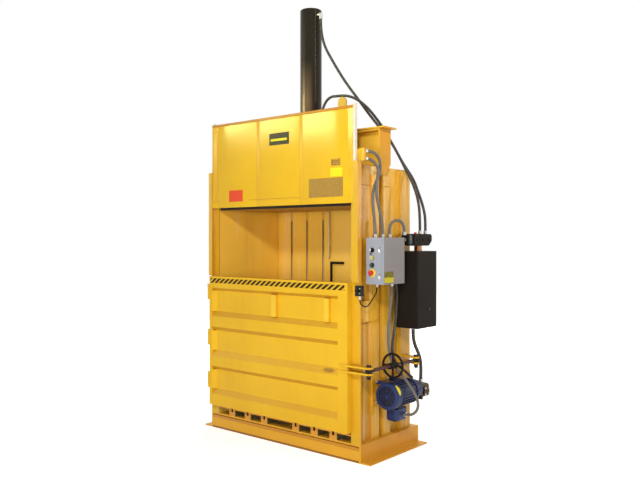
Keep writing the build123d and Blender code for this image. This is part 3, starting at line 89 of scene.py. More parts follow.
# Cords: diameter, slot, stiffness and the points that the solids' routes have, in millimetres
CORDS = {
    "top_hose": (23, "hose_rubber", "stiff", [
        (128, -16, 3640), (128, -16, 3550), (158, -7, 3406), (227, 14, 3277), (300, 35, 3150),
        (380, 58, 3027), (466, 84, 2910), (549, 108, 2790), (637, 135, 2674), (729, 162, 2561),
        (800, 183, 2434), (864, 202, 2302), (930, 222, 2171), (971, 235, 2029), (980, 239, 1882),
        (980, 239, 1792),
    ]),
    "lower_hose": (23, "hose_rubber", "stiff", [
        (128, 0, 2770), (128, 0, 2810), (146, -4, 2875), (191, -13, 2925), (254, -26, 2948),
        (322, -36, 2941), (390, -38, 2938), (457, -34, 2925), (518, -19, 2897), (564, 10, 2857),
        (594, 54, 2813), (614, 99, 2765), (631, 144, 2716), (649, 185, 2664), (671, 215, 2606),
        (695, 238, 2546), (722, 257, 2486), (752, 271, 2426), (783, 283, 2366), (819, 294, 2308),
        (857, 303, 2251), (888, 309, 2190), (911, 313, 2126), (936, 317, 2062), (958, 319, 1997),
        (975, 321, 1930), (980, 322, 1862), (980, 322, 1792),
    ]),
    "conduit_a": (24, "conduit_grey", "stiff", [
        (872, -352, 2404), (872, -320, 2404), (879, -266, 2400), (887, -221, 2373), (890, -195, 2325),
        (890, -196, 2271), (890, -216, 2221), (888, -244, 2175), (887, -272, 2128), (887, -291, 2077),
        (889, -296, 2023), (892, -294, 1968), (899, -293, 1914), (908, -296, 1861), (915, -300, 1807),
        (915, -300, 1762),
    ]),
    "conduit_b": (24, "conduit_grey", "stiff", [
        (872, -352, 2345), (872, -328, 2345), (878, -289, 2336), (893, -261, 2312), (908, -248, 2277),
        (915, -253, 2238), (913, -266, 2199), (911, -273, 2159), (911, -276, 2119), (911, -273, 2078),
        (911, -264, 2039), (911, -251, 2000), (912, -238, 1962), (913, -225, 1923), (914, -214, 1884),
        (915, -206, 1844), (915, -202, 1804), (915, -202, 1762),
    ]),
    "conduit_arch": (24, "conduit_grey", "stiff", [
        (915, -108, 1762), (915, -108, 1786), (916, -103, 1820), (922, -88, 1850), (932, -62, 1871),
        (944, -30, 1876), (955, 0, 1864), (962, 22, 1839), (965, 30, 1806), (965, 30, 1782),
    ]),
    "motor_conduit": (22, "conduit_grey", "stiff", [
        (930, -95, 1352), (930, -95, 1302), (928, -97, 1256), (919, -109, 1118), (915, -112, 1072),
        (912, -114, 1026), (909, -114, 980), (907, -110, 933), (904, -103, 888), (903, -92, 843),
        (905, -79, 799), (911, -67, 754), (931, -59, 714), (965, -56, 683), (1001, -58, 655),
        (1034, -60, 622), (1065, -60, 588), (1095, -60, 552), (1124, -60, 516), (1147, -60, 477),
        (1156, -60, 432), (1141, -60, 389), (1107, -60, 357), (1063, -60, 345), (1041, -60, 345),
    ]),
    "pump_hose": (24, "hose_rubber", "stiff", [
        (905, 150, 1724), (905, 100, 1724), (905, 28, 1702), (905, -26, 1648), (904, -56, 1578),
        (904, -50, 1503), (904, -24, 1431), (904, 4, 1359), (904, 19, 1285), (904, 12, 1209),
        (903, 8, 1132), (901, 0, 1056), (897, -12, 981), (892, -26, 906), (887, -28, 830), (886, -3, 758),
        (888, 48, 701), (898, 112, 661), (918, 169, 615), (930, 194, 586),
    ]),
    "suction_hose": (30, "hose_rubber", "stiff", [
        (930, 214, 984), (930, 214, 940), (930, 224, 888), (930, 247, 840), (930, 279, 797),
        (932, 307, 752), (937, 317, 700), (945, 310, 648), (950, 300, 596), (950, 300, 562),
    ]),
    "switch_cable": (9, "black_plastic", "medium", [
        (862, -424, 1263), (862, -424, 1251), (865, -417, 1228), (871, -399, 1212), (879, -376, 1205),
        (887, -354, 1211), (893, -337, 1228), (898, -321, 1248), (908, -293, 1288), (913, -282, 1310),
        (915, -276, 1334), (915, -276, 1352),
    ]),
}


class BalerColours(bpy.types.PropertyGroup):
    """Colours that a user may change."""
    yellow: bpy.props.StringProperty(
        name="Machine enamel", description="Main paint, sRGB hex", default="#ECBD24")
    grey: bpy.props.StringProperty(
        name="Control box", description="Powder coat of the control box, sRGB hex", default="#9DA3B0")
    black: bpy.props.StringProperty(
        name="Black enamel", description="Paint of the tank and the ram plate, sRGB hex", default="#231E1A")
    blue: bpy.props.StringProperty(
        name="Motor enamel", description="Paint of the motor, sRGB hex", default="#213060")


class BalerSizes(bpy.types.PropertyGroup):
    """Sizes of the fine pieces that a user may change."""
    stripe_pitch: bpy.props.FloatProperty(
        name="Stripe pitch", description="Distance between two slanted warning stripes",
        default=0.057, min=0.02, max=0.3, unit="LENGTH")
    bolt: bpy.props.FloatProperty(
        name="Bolt head", description="Width across the flats of a bolt head",
        default=0.024, min=0.005, max=0.08, unit="LENGTH")
    braid: bpy.props.FloatProperty(
        name="Hose wrap", description="Pitch of the wrapped texture on the hoses",
        default=0.006, min=0.002, max=0.03, unit="LENGTH")


def linear(hex_colour):
    """An sRGB hex colour as the linear values that Blender works with."""
    channels = [int(hex_colour[i:i + 2], 16) / 255 for i in (1, 3, 5)]
    return [c / 12.92 if c <= 0.04045 else ((c + 0.055) / 1.055) ** 2.4 for c in channels] + [1.0]


def feed(tree, socket, value):
    """Links a socket to another one, or gives it a value, which may be a hex colour."""
    if isinstance(value, bpy.types.NodeSocket):
        tree.links.new(value, socket)
    else:
        socket.default_value = linear(value) if isinstance(value, str) else value


def add_node(tree, kind, inputs=None, **settings):
    """Adds a shader node, sets its attributes, and links its inputs or gives them values."""
    node = tree.nodes.new("ShaderNode" + kind)
    for key, value in settings.items():
        if hasattr(node, key):
            setattr(node, key, value)
        else:
            node.inputs[key.replace("_", " ")].default_value = value
    for key, value in (inputs or {}).items():
        feed(tree, node.inputs[key], value)
    return node


def new_material(name):
    """An empty material with its shader, its output and a node with Object coordinates."""
    material = bpy.data.materials.new(name)
    material.use_nodes = True
    tree = material.node_tree
    tree.nodes.clear()
    shader = add_node(tree, "BsdfPrincipled")
    add_node(tree, "OutputMaterial", {"Surface": shader.outputs["BSDF"]})
    place = add_node(tree, "TexCoord").outputs["Object"]
    return material, tree, shader, place


def parts_of(material):
    """A finished material's tree, shader, Object coordinates and colour, for more on top of it."""
    tree = material.node_tree
    shader = tree.nodes["Principled BSDF"]
    place = tree.nodes["Texture Coordinate"].outputs["Object"]
    return tree, shader, place, shader.inputs["Base Color"].links[0].from_socket


def marks(tree, place, size, detail=4.0, roughness=0.55):
    """Uneven marks, from 0 to 1. Their size is in mm, with one size for each axis where they
    run further one way than another."""
    sizes = size if isinstance(size, tuple) else (size, size, size)
    near = add_node(tree, "Mapping", {"Vector": place}, Scale=[1000 / one for one in sizes])
    cloud = add_node(tree, "TexNoise", {"Vector": near.outputs["Vector"]},
                     Scale=1.0, Detail=detail, Roughness=roughness)
    return cloud.outputs["Fac"]


def layer(tree, under, over, pattern, low=0.0, high=1.0, share=1.0, within=None):
    """Lays one colour over another: none where the pattern is low, and the share given where it
    is high. Within is a mask that the layer keeps to."""
    amount = add_node(tree, "MapRange", {"Value": pattern},
                      From_Min=low, From_Max=high, To_Max=share)
    amount = amount.outputs["Result"]
    if within is not None:
        amount = add_node(tree, "Math", {0: amount, 1: within}, operation="MULTIPLY").outputs[0]
    return add_node(tree, "Mix", {0: amount, 6: under, 7: over}, data_type="RGBA").outputs[2]


def surface(shader, colour=None, rough=None, gloss=None, metal=None, relief=None):
    """Joins a finish to its shader. The relief is a pattern, its strength and its depth in mm,
    and goes on top of the relief that the shader has."""
    tree = shader.id_data
    values = {"Base Color": colour, "Roughness": rough, "Specular IOR Level": gloss, "Metallic": metal}
    for name, value in values.items():
        if value is not None:
            feed(tree, shader.inputs[name], value)
    if relief:
        pattern, strength, depth = relief
        made = add_node(tree, "Bump", {"Height": pattern}, Strength=strength, Distance=depth / 1000)
        for link in shader.inputs["Normal"].links:
            tree.links.new(link.from_socket, made.inputs["Normal"])
        tree.links.new(made.outputs["Normal"], shader.inputs["Normal"])


def sharp_edges(tree, radius):
    """One along sharp edges and nothing on flat faces, for paint that is rubbed thin there."""
    rounded = add_node(tree, "Bevel", samples=4, Radius=radius).outputs["Normal"]
    flat = add_node(tree, "NewGeometry").outputs["Normal"]
    alike = add_node(tree, "VectorMath", {0: rounded, 1: flat}, operation="DOT_PRODUCT")
    mask = add_node(tree, "MapRange", {"Value": alike.outputs["Value"]},
                    From_Min=0.995, From_Max=0.80)
    return mask.outputs["Result"]


def corners(tree, reach, low, high):
    """One in corners and nothing in the open: ambient occlusion, for painted shade in corners and recesses.
    """
    room = add_node(tree, "AmbientOcclusion", samples=6, Distance=reach)
    mask = add_node(tree, "MapRange", {"Value": room.outputs["AO"]}, From_Min=low, From_Max=high)
    return mask.outputs["Result"]


def facing(tree, axis, start, end, either_way=False):
    """One on faces that look along an axis and nothing on those beside it. The start and the end
    are the normal's share along the axis where the mask begins and where it is full."""
    normal = add_node(tree, "NewGeometry").outputs["Normal"]
    share = add_node(tree, "SeparateXYZ", {"Vector": normal}).outputs[axis]
    if either_way:
        share = add_node(tree, "Math", {0: share}, operation="ABSOLUTE").outputs[0]
    mask = add_node(tree, "MapRange", {"Value": share}, From_Min=start, From_Max=end)
    return mask.outputs["Result"]


def off_line(tree, place, line):
    """The distance from an upright line, which is as far to the left of the middle as to the right."""
    across = add_node(tree, "SeparateXYZ", {"Vector": place}).outputs["X"]
    middle = add_node(tree, "Math", {0: across}, operation="ABSOLUTE").outputs[0]
    past = add_node(tree, "Math", {0: middle, 1: line}, operation="SUBTRACT").outputs[0]
    return add_node(tree, "Math", {0: past}, operation="ABSOLUTE").outputs[0]


def oval(tree, place, x, z, wide, high):
    """One in the middle of an upright oval and nothing round it. Wide and high are its half widths."""
    near = add_node(tree, "Mapping", {"Vector": place}, Location=(-x / wide, 0, -z / high),
                    Scale=(1 / wide, 0, 1 / high))
    far = add_node(tree, "VectorMath", {0: near.outputs["Vector"]}, operation="LENGTH")
    mask = add_node(tree, "MapRange", {"Value": far.outputs["Value"]}, From_Min=1.1, From_Max=0.4)
    return mask.outputs["Result"]


def repeats(tree, along, pitch, start=0.0):
    """How far along its own repeat a place is, from 0 to 1."""
    past = add_node(tree, "Math", {0: along, 1: start}, operation="SUBTRACT").outputs[0]
    count = add_node(tree, "Math", {0: past, 1: pitch}, operation="DIVIDE").outputs[0]
    return add_node(tree, "Math", {0: count, 1: 1.0}, operation="FLOORED_MODULO").outputs[0]


def machine_enamel(name, colour, rubbed, dirt_and_shade, wear=0.6, grime=0.5, rough=0.34, gloss=0.25, smudge=None,
                   ledge_dust_and_shade=0.45, painted_side_tone=None):
    """Alkyd machine enamel, sprayed on plate: a soft gloss with a faint ripple, drips of
    dust down the faces, painted shade in the corners and thin places along the edges.
    Faces that look up or down are darkened: dust on the upward ones, painted shade on
    both. A smudge is the X, the Z and the two half widths of one place where the paint
    is rubbed brown. The painted side tone goes on the faces that look sideways: painted
    shade where it is darker, painted light where it is paler."""
    material, tree, shader, place = new_material(name)
    cloud = marks(tree, place, 588.2, 5.0)
    runs = marks(tree, place, (71.43, 71.43, 909.1), 5.0, 0.6)
    specks = marks(tree, place, 18.18, 3.0)
    ripple = marks(tree, place, 7.692, 2.0)
    tone = layer(tree, colour, dirt_and_shade, cloud, 0.35, 0.72, 0.22)
    tone = layer(tree, tone, dirt_and_shade, runs, 0.52, 0.80, 0.30 * grime)
    # Painted shade: ambient occlusion lays the dust tone into corners and recesses
    tone = layer(tree, tone, dirt_and_shade, cloud, 0.25, 0.6, grime, corners(tree, 0.07, 0.75, 0.15))
    tone = layer(tree, tone, rubbed, specks, 0.45, 0.62, wear, sharp_edges(tree, 0.0025))
    # Sideways faces take the painted side tone: painted shade where it is darker, painted light where it is
    # paler
    if painted_side_tone:
        tone = layer(tree, tone, painted_side_tone, facing(tree, "X", 0.8, 0.95, True), share=0.5)
    # Faces that look up or down are darkened: dust on the upward ones, painted shade on both
    tone = layer(tree, tone, dirt_and_shade, facing(tree, "Z", 0.3, 0.7, True), share=ledge_dust_and_shade)
    if smudge:
        tone = layer(tree, tone, rubbed, specks, 0.25, 0.5, 0.85, oval(tree, place, *smudge))
    sheen = add_node(tree, "MapRange", {"Value": cloud}, From_Min=0.2, From_Max=0.8,
                     To_Min=rough - 0.07, To_Max=rough + 0.12)
    surface(shader, tone, sheen.outputs["Result"], gloss, relief=(ripple, 0.06, 2))
    return material


def bowed_enamel(name, colour, start, pitch, depth, **dirt_and_shade):
    """The gate's three sheets: machine enamel on sheets that stand out a little in the middle,
    so that the soft glow on each of them ends before its seams. The depth is in mm."""
    material = machine_enamel(name, colour, **dirt_and_shade)
    tree, shader, place, painted = parts_of(material)
    across = add_node(tree, "SeparateXYZ", {"Vector": place}).outputs["X"]
    share = repeats(tree, across, pitch, start)
    rest = add_node(tree, "Math", {0: 1.0, 1: share}, operation="SUBTRACT").outputs[0]
    bow = add_node(tree, "Math", {0: share, 1: rest}, operation="MULTIPLY").outputs[0]
    surface(shader, relief=(bow, 1.0, 4 * depth))
    return material


def waved_enamel(name, colour, **dirt_and_shade):
    """The sides' uprights and hollow ribs: machine enamel on folded sheet that waves a little
    from side to side, with pale upright streaks on its flanks that are painted highlights."""
    material = machine_enamel(name, colour, **dirt_and_shade)
    tree, shader, place, painted = parts_of(material)
    wave = marks(tree, place, (45.45, 45.45, 1667), 1.0)
    side = facing(tree, "X", 0.8, 0.95, True)
    painted_highlight_mask = add_node(tree, "Math", {0: side, 1: 0.5}, operation="MAXIMUM").outputs[0]
    # Painted highlight: pale upright streaks on the sideways faces
    tone = layer(tree, painted, "#FFE596", wave, 0.54, 0.68, 0.45, painted_highlight_mask)
    surface(shader, tone, relief=(wave, 0.22, 4))
    return material


def barrel_enamel(name):
    """The cylinder: black enamel on drawn tube, with a pale warm painted reflection that grows
    towards its foot, on the side that faces the loading side."""
    material = machine_enamel(name, "#1A1914", "#3A342D", "#33291C", 0.3, 0.5, 0.18, 0.3)
    tree, shader, place, painted = parts_of(material)
    shader.inputs["Specular Tint"].default_value = linear("#F2DCC0")
    height = add_node(tree, "SeparateXYZ", {"Vector": place}).outputs["Z"]
    front = facing(tree, "Y", -0.62, -0.90)
    # Painted reflection: a pale warm tone that grows towards the barrel's foot on its forward faces
    surface(shader, layer(tree, painted, "#8E7556", height, 3.28, 2.93, 0.62, front))
    return material


def channel_enamel(name, colour, inside, centres):
    """The channels behind the wire slots: machine enamel outside, and inside a pale primer, which
    shows through the slots. The centres are their distances from the middle."""
    material, tree, shader, place = new_material(name)
    tone = layer(tree, colour, "#AD6C1E", marks(tree, place, 588.2, 5.0), 0.35, 0.72, 0.3)
    forward = facing(tree, "Y", 0.5, 0.2)
    for centre in centres:
        off = off_line(tree, place, centre)
        inner = add_node(tree, "Math", {0: off, 1: CHANNEL_HALF_WIDTH}, operation="LESS_THAN")
        tone = layer(tree, tone, inside, inner.outputs[0], within=forward)
    surface(shader, tone, 0.4, 0.25)
    return material


def scraped_enamel(name, colour, lines=()):
    """The chamber's plates: glossy enamel that bales have scraped, with pale upright streaks.
    The lines are the distances from the middle of brown upright lines, painted shade of the slots' dark lines
    up the wall."""
    material, tree, shader, place = new_material(name)
    streak = marks(tree, place, (142.9, 142.9, 1667), 3.0, 0.5)
    tone = layer(tree, colour, "#EDB24E", marks(tree, place, 526.3, 5.0), 0.35, 0.7, 0.25)
    tone = layer(tree, tone, "#BC8038", streak, 0.52, 0.78, 0.22)
    tone = layer(tree, tone, "#F6E3BE", streak, 0.40, 0.24, 0.45)
    # Painted shade: brown upright lines where the slots' dark lines run
    for line in lines:
        tone = layer(tree, tone, "#A9702E", off_line(tree, place, line), 0.026, 0.006, 0.45)
    # Painted shade: ambient occlusion darkens the corners
    tone = layer(tree, tone, "#8A5A20", corners(tree, 0.09, 0.7, 0.1), share=0.45)
    sheen = add_node(tree, "MapRange", {"Value": streak}, To_Min=0.16, To_Max=0.52)
    surface(shader, tone, sheen.outputs["Result"], relief=(streak, 0.06, 2))
    return material


def scuffed_floor(name, colour):
    """The chamber's floor: orange enamel on the front ends of the troughs, a dark olive tone
    between them that is painted shade, and brown steel on the faces that bales slide over."""
    material, tree, shader, place = new_material(name)
    scrape = marks(tree, place, (25, 500, 125), 6.0, 0.65)
    steel = layer(tree, "#3A3026", "#7C6A44", scrape, 0.35, 0.7)
    paint = layer(tree, colour, "#8A5A20", scrape, 0.4, 0.7, 0.4)
    # Painted shade: faces that look neither forward nor up are dark olive
    tone = layer(tree, "#57502E", paint, facing(tree, "Y", -0.4, -0.9))
    tone = layer(tree, tone, steel, facing(tree, "Z", 0.4, 0.9))
    surface(shader, tone, 0.5, relief=(scrape, 0.15, 2))
    return material


def platen_enamel(name, colour):
    """The ram plate: black enamel on its edges and ribs, and a smeared brown yellow below."""
    material, tree, shader, place = new_material(name)
    smear = marks(tree, place, (500, 50, 1000), 5.0)
    under = layer(tree, "#C98F34", "#A8742C", smear, 0.35, 0.7)
    tone = layer(tree, colour, under, facing(tree, "Z", -0.5, -0.9))
    surface(shader, tone, 0.45, 0.2, relief=(smear, 0.08, 2))
    return material


def bare_metal(name, colour, tarnish, rough, share=0.35, grain=4.167):
    """Turned, plated or drawn metal: bright, with fine marks and cloudy tarnish. The grain is the
    size of the marks in mm."""
    material, tree, shader, place = new_material(name)
    tone = layer(tree, colour, tarnish, marks(tree, place, 35.71), 0.4, 0.75, share)
    fine = marks(tree, place, grain, 3.0)
    sheen = add_node(tree, "MapRange", {"Value": fine}, To_Min=rough - 0.08, To_Max=rough + 0.14)
    surface(shader, tone, sheen.outputs["Result"], metal=1.0, relief=(fine, 0.05, 0.6))
    return material


def rusty_thread(name, pitch=0.010):
    """Rolled screw thread with oil and brown rust in it, between a black hook and a black eye.
    Its pitch along Y is coarser than a real screw's, so that the thread shows."""
    material, tree, shader, place = new_material(name)
    wave = add_node(tree, "TexWave", {"Vector": place}, bands_direction="Y", wave_profile="SIN",
                    Scale=math.pi / (10 * pitch), Distortion=0.0, Detail=0.0).outputs["Fac"]
    along = add_node(tree, "SeparateXYZ", {"Vector": place}).outputs["Y"]
    tone = layer(tree, "#4A2E22", "#231B18", marks(tree, place, 16.67), 0.35, 0.65)
    tone = layer(tree, tone, "#8A5A50", wave, share=0.55)
    tone = layer(tree, tone, "#14110F", along, -0.375, -0.385)
    tone = layer(tree, tone, "#14110F", along, 0.150, 0.160)
    surface(shader, tone, 0.48, metal=0.6, relief=(wave, 0.8, 2))
    return material


def moulded_plastic(name, colour, rough, worn="#77746E", gloss=0.5):
    """Injection moulded part: even colour, a fine grain and a little dust."""
    material, tree, shader, place = new_material(name)
    tone = layer(tree, colour, worn, marks(tree, place, 45.45), 0.5, 0.85, 0.25)
    surface(shader, tone, rough, gloss, relief=(marks(tree, place, 1.429, 2.0), 0.08, 0.4))
    return material


def ringed_hose(name, colour, light, pitch, strength, rough, length):
    """Wrapped hydraulic hose or corrugated conduit: rings at the pitch given run along the
    cord's own map, so that they follow every bend."""
    material, tree, shader, place = new_material(name)
    flat = add_node(tree, "TexCoord").outputs["UV"]
    along = add_node(tree, "SeparateXYZ", {"Vector": flat}).outputs["X"]
    turn = add_node(tree, "Math", {0: along, 1: 2 * math.pi * length / pitch}, operation="MULTIPLY")
    rings = add_node(tree, "Math", {0: turn.outputs[0]}, operation="SINE").outputs[0]
    tone = layer(tree, colour, light, rings, -1.0, 1.0, 0.5)
    tone = layer(tree, tone, "#8B8378", marks(tree, place, 33.33), 0.5, 0.8, 0.3)
    surface(shader, tone, rough, relief=(rings, strength, 0.6))
    return material


def plate_print(name, colour, faded):
    """Printed aluminium or vinyl plate without any text: one colour, faded in clouds."""
    material, tree, shader, place = new_material(name)
    surface(shader, layer(tree, colour, faded, marks(tree, place, 71.43), 0.4, 0.8, 0.5), 0.4, 0.12)
    return material


def fine_rows(name, ground, ink, pitch):
    """A printed plate seen from afar: fine broken rows of ink that spell nothing."""
    material, tree, shader, place = new_material(name)
    height = add_node(tree, "SeparateXYZ", {"Vector": place}).outputs["Z"]
    row = repeats(tree, height, pitch)
    inked = add_node(tree, "Math", {0: row, 1: 0.45}, operation="GREATER_THAN").outputs[0]
    broken = marks(tree, place, (11.11, 11.11, 1000 * pitch), 2.0)
    surface(shader, layer(tree, ground, ink, broken, 0.42, 0.50, within=inked), 0.42, 0.12)
    return material


def collar_moulding(name):
    """The four collars are one piece in the frame, told apart by their height: from the bottom
    yellow round the stop button, black, dull yellow round the lamp, and black."""
    material, tree, shader, place = new_material(name)
    height = add_node(tree, "SeparateXYZ", {"Vector": place}).outputs["Z"]
    tone = "#EFD23A"
    for start, colour in ((1.497, "#191817"), (1.553, "#A99A44"), (1.610, "#191817")):
        tone = layer(tree, tone, colour, height, start, start + 0.0001)
    surface(shader, tone, 0.35, relief=(marks(tree, place, 1.429, 2.0), 0.08, 0.4))
    return material


def slanted_stripes(name, pitch):
    """Adhesive warning tape: black and yellow stripes that lean far over, scuffed."""
    material, tree, shader, place = new_material(name)
    parts = add_node(tree, "SeparateXYZ", {"Vector": place})
    rise = add_node(tree, "Math", {0: parts.outputs["Z"], 1: 1.35}, operation="MULTIPLY").outputs[0]
    lean = add_node(tree, "Math", {0: parts.outputs["X"], 1: rise}, operation="SUBTRACT").outputs[0]
    stripe = repeats(tree, lean, pitch)
    black = add_node(tree, "Math", {0: stripe, 1: 0.40}, operation="GREATER_THAN").outputs[0]
    tone = layer(tree, "#DFB02C", "#33280F", black)
    tone = layer(tree, tone, "#A07C2A", marks(tree, place, (33.33, 33.33, 11.11), 5.0), 0.55, 0.8, 0.35)
    surface(shader, tone, 0.4, 0.1)
    return material


def cord_of(name):
    """A cord's route and diameter in metres, its slot and its stiffness."""
    diameter, slot, stiffness, route = CORDS[name]
    return [tuple(value / 1000 for value in point) for point in route], diameter / 1000, slot, stiffness


def make_materials(colours, sizes):
    """Every finish by the name of the record's slot, of the node or of the plate that wears it."""
    # The dust tones of these sets also paint shade into corners and onto faces that look up or down; the side
    # tones are painted shade on sideways faces, and painted light where paler, as on the ribs
    yellow = dict(rubbed="#8A5A20", dirt_and_shade="#AD6C1E", painted_side_tone="#D9882C")
    shade = dict(rubbed="#7A4E1C", dirt_and_shade="#8A5A1C")
    door = dict(rubbed="#7A4A1C", dirt_and_shade="#B5701F")
    base = dict(rubbed="#8A5A20", dirt_and_shade="#BE8530", painted_side_tone="#DC9436")
    rib = dict(rubbed="#8A5A20", dirt_and_shade="#AD6C1E", painted_side_tone="#FFC040")
    conduit = dict(colour="#55524E", light="#9A9791", pitch=0.005, strength=0.6, rough=0.40)
    hose = dict(colour="#2B2824", light="#57524A", pitch=sizes.braid, strength=0.3, rough=0.42)
    # Sprayed enamels and powder coat, then the few finishes with a pattern of their own
    finishes = {
        "yellow_paint": machine_enamel("yellow_enamel", colours.yellow, **yellow),
        "gate_enamel": bowed_enamel("gate_enamel", "#F1C223", GATE_SEAM_X, GATE_SHEET_WIDTH, 14,
                                    rough=0.13, gloss=0.16, grime=0.15, **yellow),
        "base_enamel": machine_enamel("base_enamel", "#E6AC2E", wear=0.9, grime=0.4, ledge_dust_and_shade=0.1, **base),
        "edge_enamel": machine_enamel("shaded_edge_enamel", "#CD8E2C", **shade),
        # A paler copy of the door's enamel: painted light on the studs' proud faces
        "stud_enamel": machine_enamel("stud_enamel", "#F6CA3A", grime=0.1, **door),
        # Painted shadow: a dark brown enamel for the strips along the skirt's foot
        "foot_enamel": machine_enamel("painted_shadow_foot_enamel", "#9A6426", **shade),
        "lap_enamel": machine_enamel("lap_enamel", "#F0BB28", **yellow),
        # Paler copies of the enamel: painted light for the chamber's inside, which the gate and walls shade
        "chamber_enamel": scraped_enamel("chamber_enamel", "#FCCB4A"),
        "back_enamel": scraped_enamel("slotted_back_enamel", "#FFD050", WIRE_SLOTS_X),
        # A paler copy of the enamel: painted light on the crossbeam, which the gate shades
        "beam_enamel": machine_enamel("beam_enamel", "#FFCF48", gloss=0.12, grime=0.0, ledge_dust_and_shade=0.4, **yellow),
        # A darker, more orange copy of the enamel: painted shade for the ribs along the sides
        "rib_enamel": waved_enamel("rib_enamel", "#DCA92E", rough=0.24, gloss=0.3, **rib),
        "channel_enamel": channel_enamel("channel_enamel", colours.yellow, "#FFF0C8", (0, *WIRE_SLOTS_X)),
        "upright_enamel": waved_enamel("upright_enamel", "#DFB026", rough=0.26, gloss=0.25, **yellow),
        "cylinder_enamel": barrel_enamel("cylinder_enamel"),
        "floor_enamel": scuffed_floor("floor_enamel", "#D9982E"),
        "platen_enamel": platen_enamel("platen_enamel", colours.black),
        "door_enamel": machine_enamel("door_enamel", colours.yellow,
                                      smudge=(0.575, 0.692, 0.070, 0.020), **door),
        "grey_paint": machine_enamel("grey_powder_coat", colours.grey, "#6E6A66", "#77706A", 0.3, 0.35, 0.5,
                                     painted_side_tone="#827468"),
        "black_paint": machine_enamel("black_enamel", colours.black, "#3A342D", "#2E2823",
                                      0.30, 0.4, 0.30, 0.04),
        "blue_paint": machine_enamel("blue_motor_enamel", colours.blue, "#4A5A88", "#161A2C",
                                     0.35, 0.6, 0.36, 0.35),
        "latch_black": machine_enamel("black_latch_enamel", "#1A1715", "#5A4034", "#2E231D", 0.4, 0.5, 0.4),
        "rusty_steel": rusty_thread("rusty_screw_thread"),
        "yellow_plastic": collar_moulding("collar_moulding"),
        "warning_tape": slanted_stripes("warning_tape", sizes.stripe_pitch),
    }
    plain = {
        # Drawn, turned or plated, so bright where it is handled and cloudy where it has tarnished
        bare_metal: {
            "tube_steel": ("stained_tube_steel", "#D9C79A", "#A8894E", 0.34),
            "bare_steel": ("drawn_tube_steel", "#BDB9AE", "#8A7A5E", 0.34),
            "rod_chrome": ("hard_chrome", "#D8D9DB", "#A9A7A2", 0.14, 0.15, (12.5, 12.5, 0.9615)),
            "zinc": ("zinc_plate", "#D2D2CE", "#8E8A80", 0.3),
            "bronze": ("cast_bronze", "#54452F", "#231E18", 0.45, 0.7),
            "copper_stem": ("copper_tube", "#C48A5E", "#6A4430", 0.35, 0.5),
            "clamp_nickel": ("nickel_clamp", "#DADBDF", "#A9A9AC", 0.3),
        },
        # Moulded in one colour, so even, with the mould's sheen and dust in its grain
        moulded_plastic: {
            "white_plastic": ("white_slide_strip", "#E9E7DC", 0.5),
            "black_plastic": ("black_moulding", "#171412", 0.40, "#3E3A36", 0.2),
            "ivory_plastic": ("ivory_moulding", "#E3D9A8", 0.35),
            "faded_print": ("faded_print", "#74767C", 0.5),
            "lamp_glass": ("lamp_glass", "#B4B583", 0.2),
            "dull_mark": ("dull_mark", "#A8A29A", 0.5),
            "green_plastic": ("green_moulding", "#1F3A30", 0.32),
            "red_plastic": ("red_moulding", "#C4182A", 0.3, "#B05050"),
            "coil_moulding": ("blue_black_coil_moulding", "#20242C", 0.35, "#4A5060"),
        },
        # Printed film, so flat and without gloss, and faded in clouds by the light
        plate_print: {
            "dull_lemon": ("faded_lemon_vinyl", "#D3C730", "#BDB12C"),
            "red_plate": ("red_vinyl", "#E8482C", "#D04028"),
            "dark_plate": ("dark_plate", "#2B2A22", "#4A4636"),
            "bright_plate": ("bright_yellow_vinyl", "#F7E81E", "#EBD524"),
        },
        # Printed plates that are too far off to read, so only broken rows of ink
        fine_rows: {
            "brown_plate": ("brown_printed_plate", "#A27B3A", "#B8923F", 0.0065),
            "label_print": ("printed_label", "#8F8428", "#4A4620", 0.012),
            "small_print": ("small_printed_plate", "#9A6A2E", "#C79A3C", 0.016),
        },
    }
    for maker, rows in plain.items():
        for key, row in rows.items():
            finishes[key] = maker(*row)
    styles = {"conduit_grey": conduit, "hose_rubber": hose}
    for name in CORDS:
        points, diameter, slot, stiffness = cord_of(name)
        if slot in styles:
            length = sum((Vector(a) - Vector(b)).length for a, b in zip(points, points[1:]))
            finishes[name] = ringed_hose(name + "_skin", length=length, **styles[slot])
        else:
            finishes[name] = finishes[slot]
    return finishes


# Nodes whose finish differs from the one that their slot would give
NODE_FINISH = {
    "side_wall_left": "chamber_enamel",
    "side_wall_right": "chamber_enamel",
    "back_wall": "back_enamel",
    "crossbeam": "beam_enamel",
    "back_stiffeners": "channel_enamel",
    "front_upright_left": "upright_enamel",
    "front_upright_right": "upright_enamel",
    "side_ribs_left": "rib_enamel",
    "side_ribs_right": "rib_enamel",
    "cylinder_barrel": "cylinder_enamel",
    "grease_pipe": "tube_steel",
    "chamber_floor": "floor_enamel",
    "platen": "platen_enamel",
    "door_panel": "door_enamel",
    "gate_panel": "gate_enamel",
    "base_sills": "base_enamel",
    "base_beams": "base_enamel",
    "latch_front_pin": "latch_black",
    "latch_rear_pin": "latch_black",
}
FINISHES = {}


def finish_of(name):
    """The material for a slot, a node or a plate. All are made the first time that one is asked for."""
    if not FINISHES:
        scene = bpy.context.scene
        FINISHES.update(make_materials(scene.baler_colours, scene.baler_sizes))
    return FINISHES[name]


def pick(*pieces):
    """Selects these pieces and nothing else, with the first one active."""
    if bpy.context.object and bpy.context.object.mode != "OBJECT":
        bpy.ops.object.mode_set(mode="OBJECT")
    bpy.ops.object.select_all(action="DESELECT")
    for piece in pieces:
        piece.select_set(True)
    if pieces:
        bpy.context.view_layer.objects.active = pieces[0]


def named(name):
    """The piece that was added last, with its name."""
    bpy.context.object.name = name
    return bpy.context.object


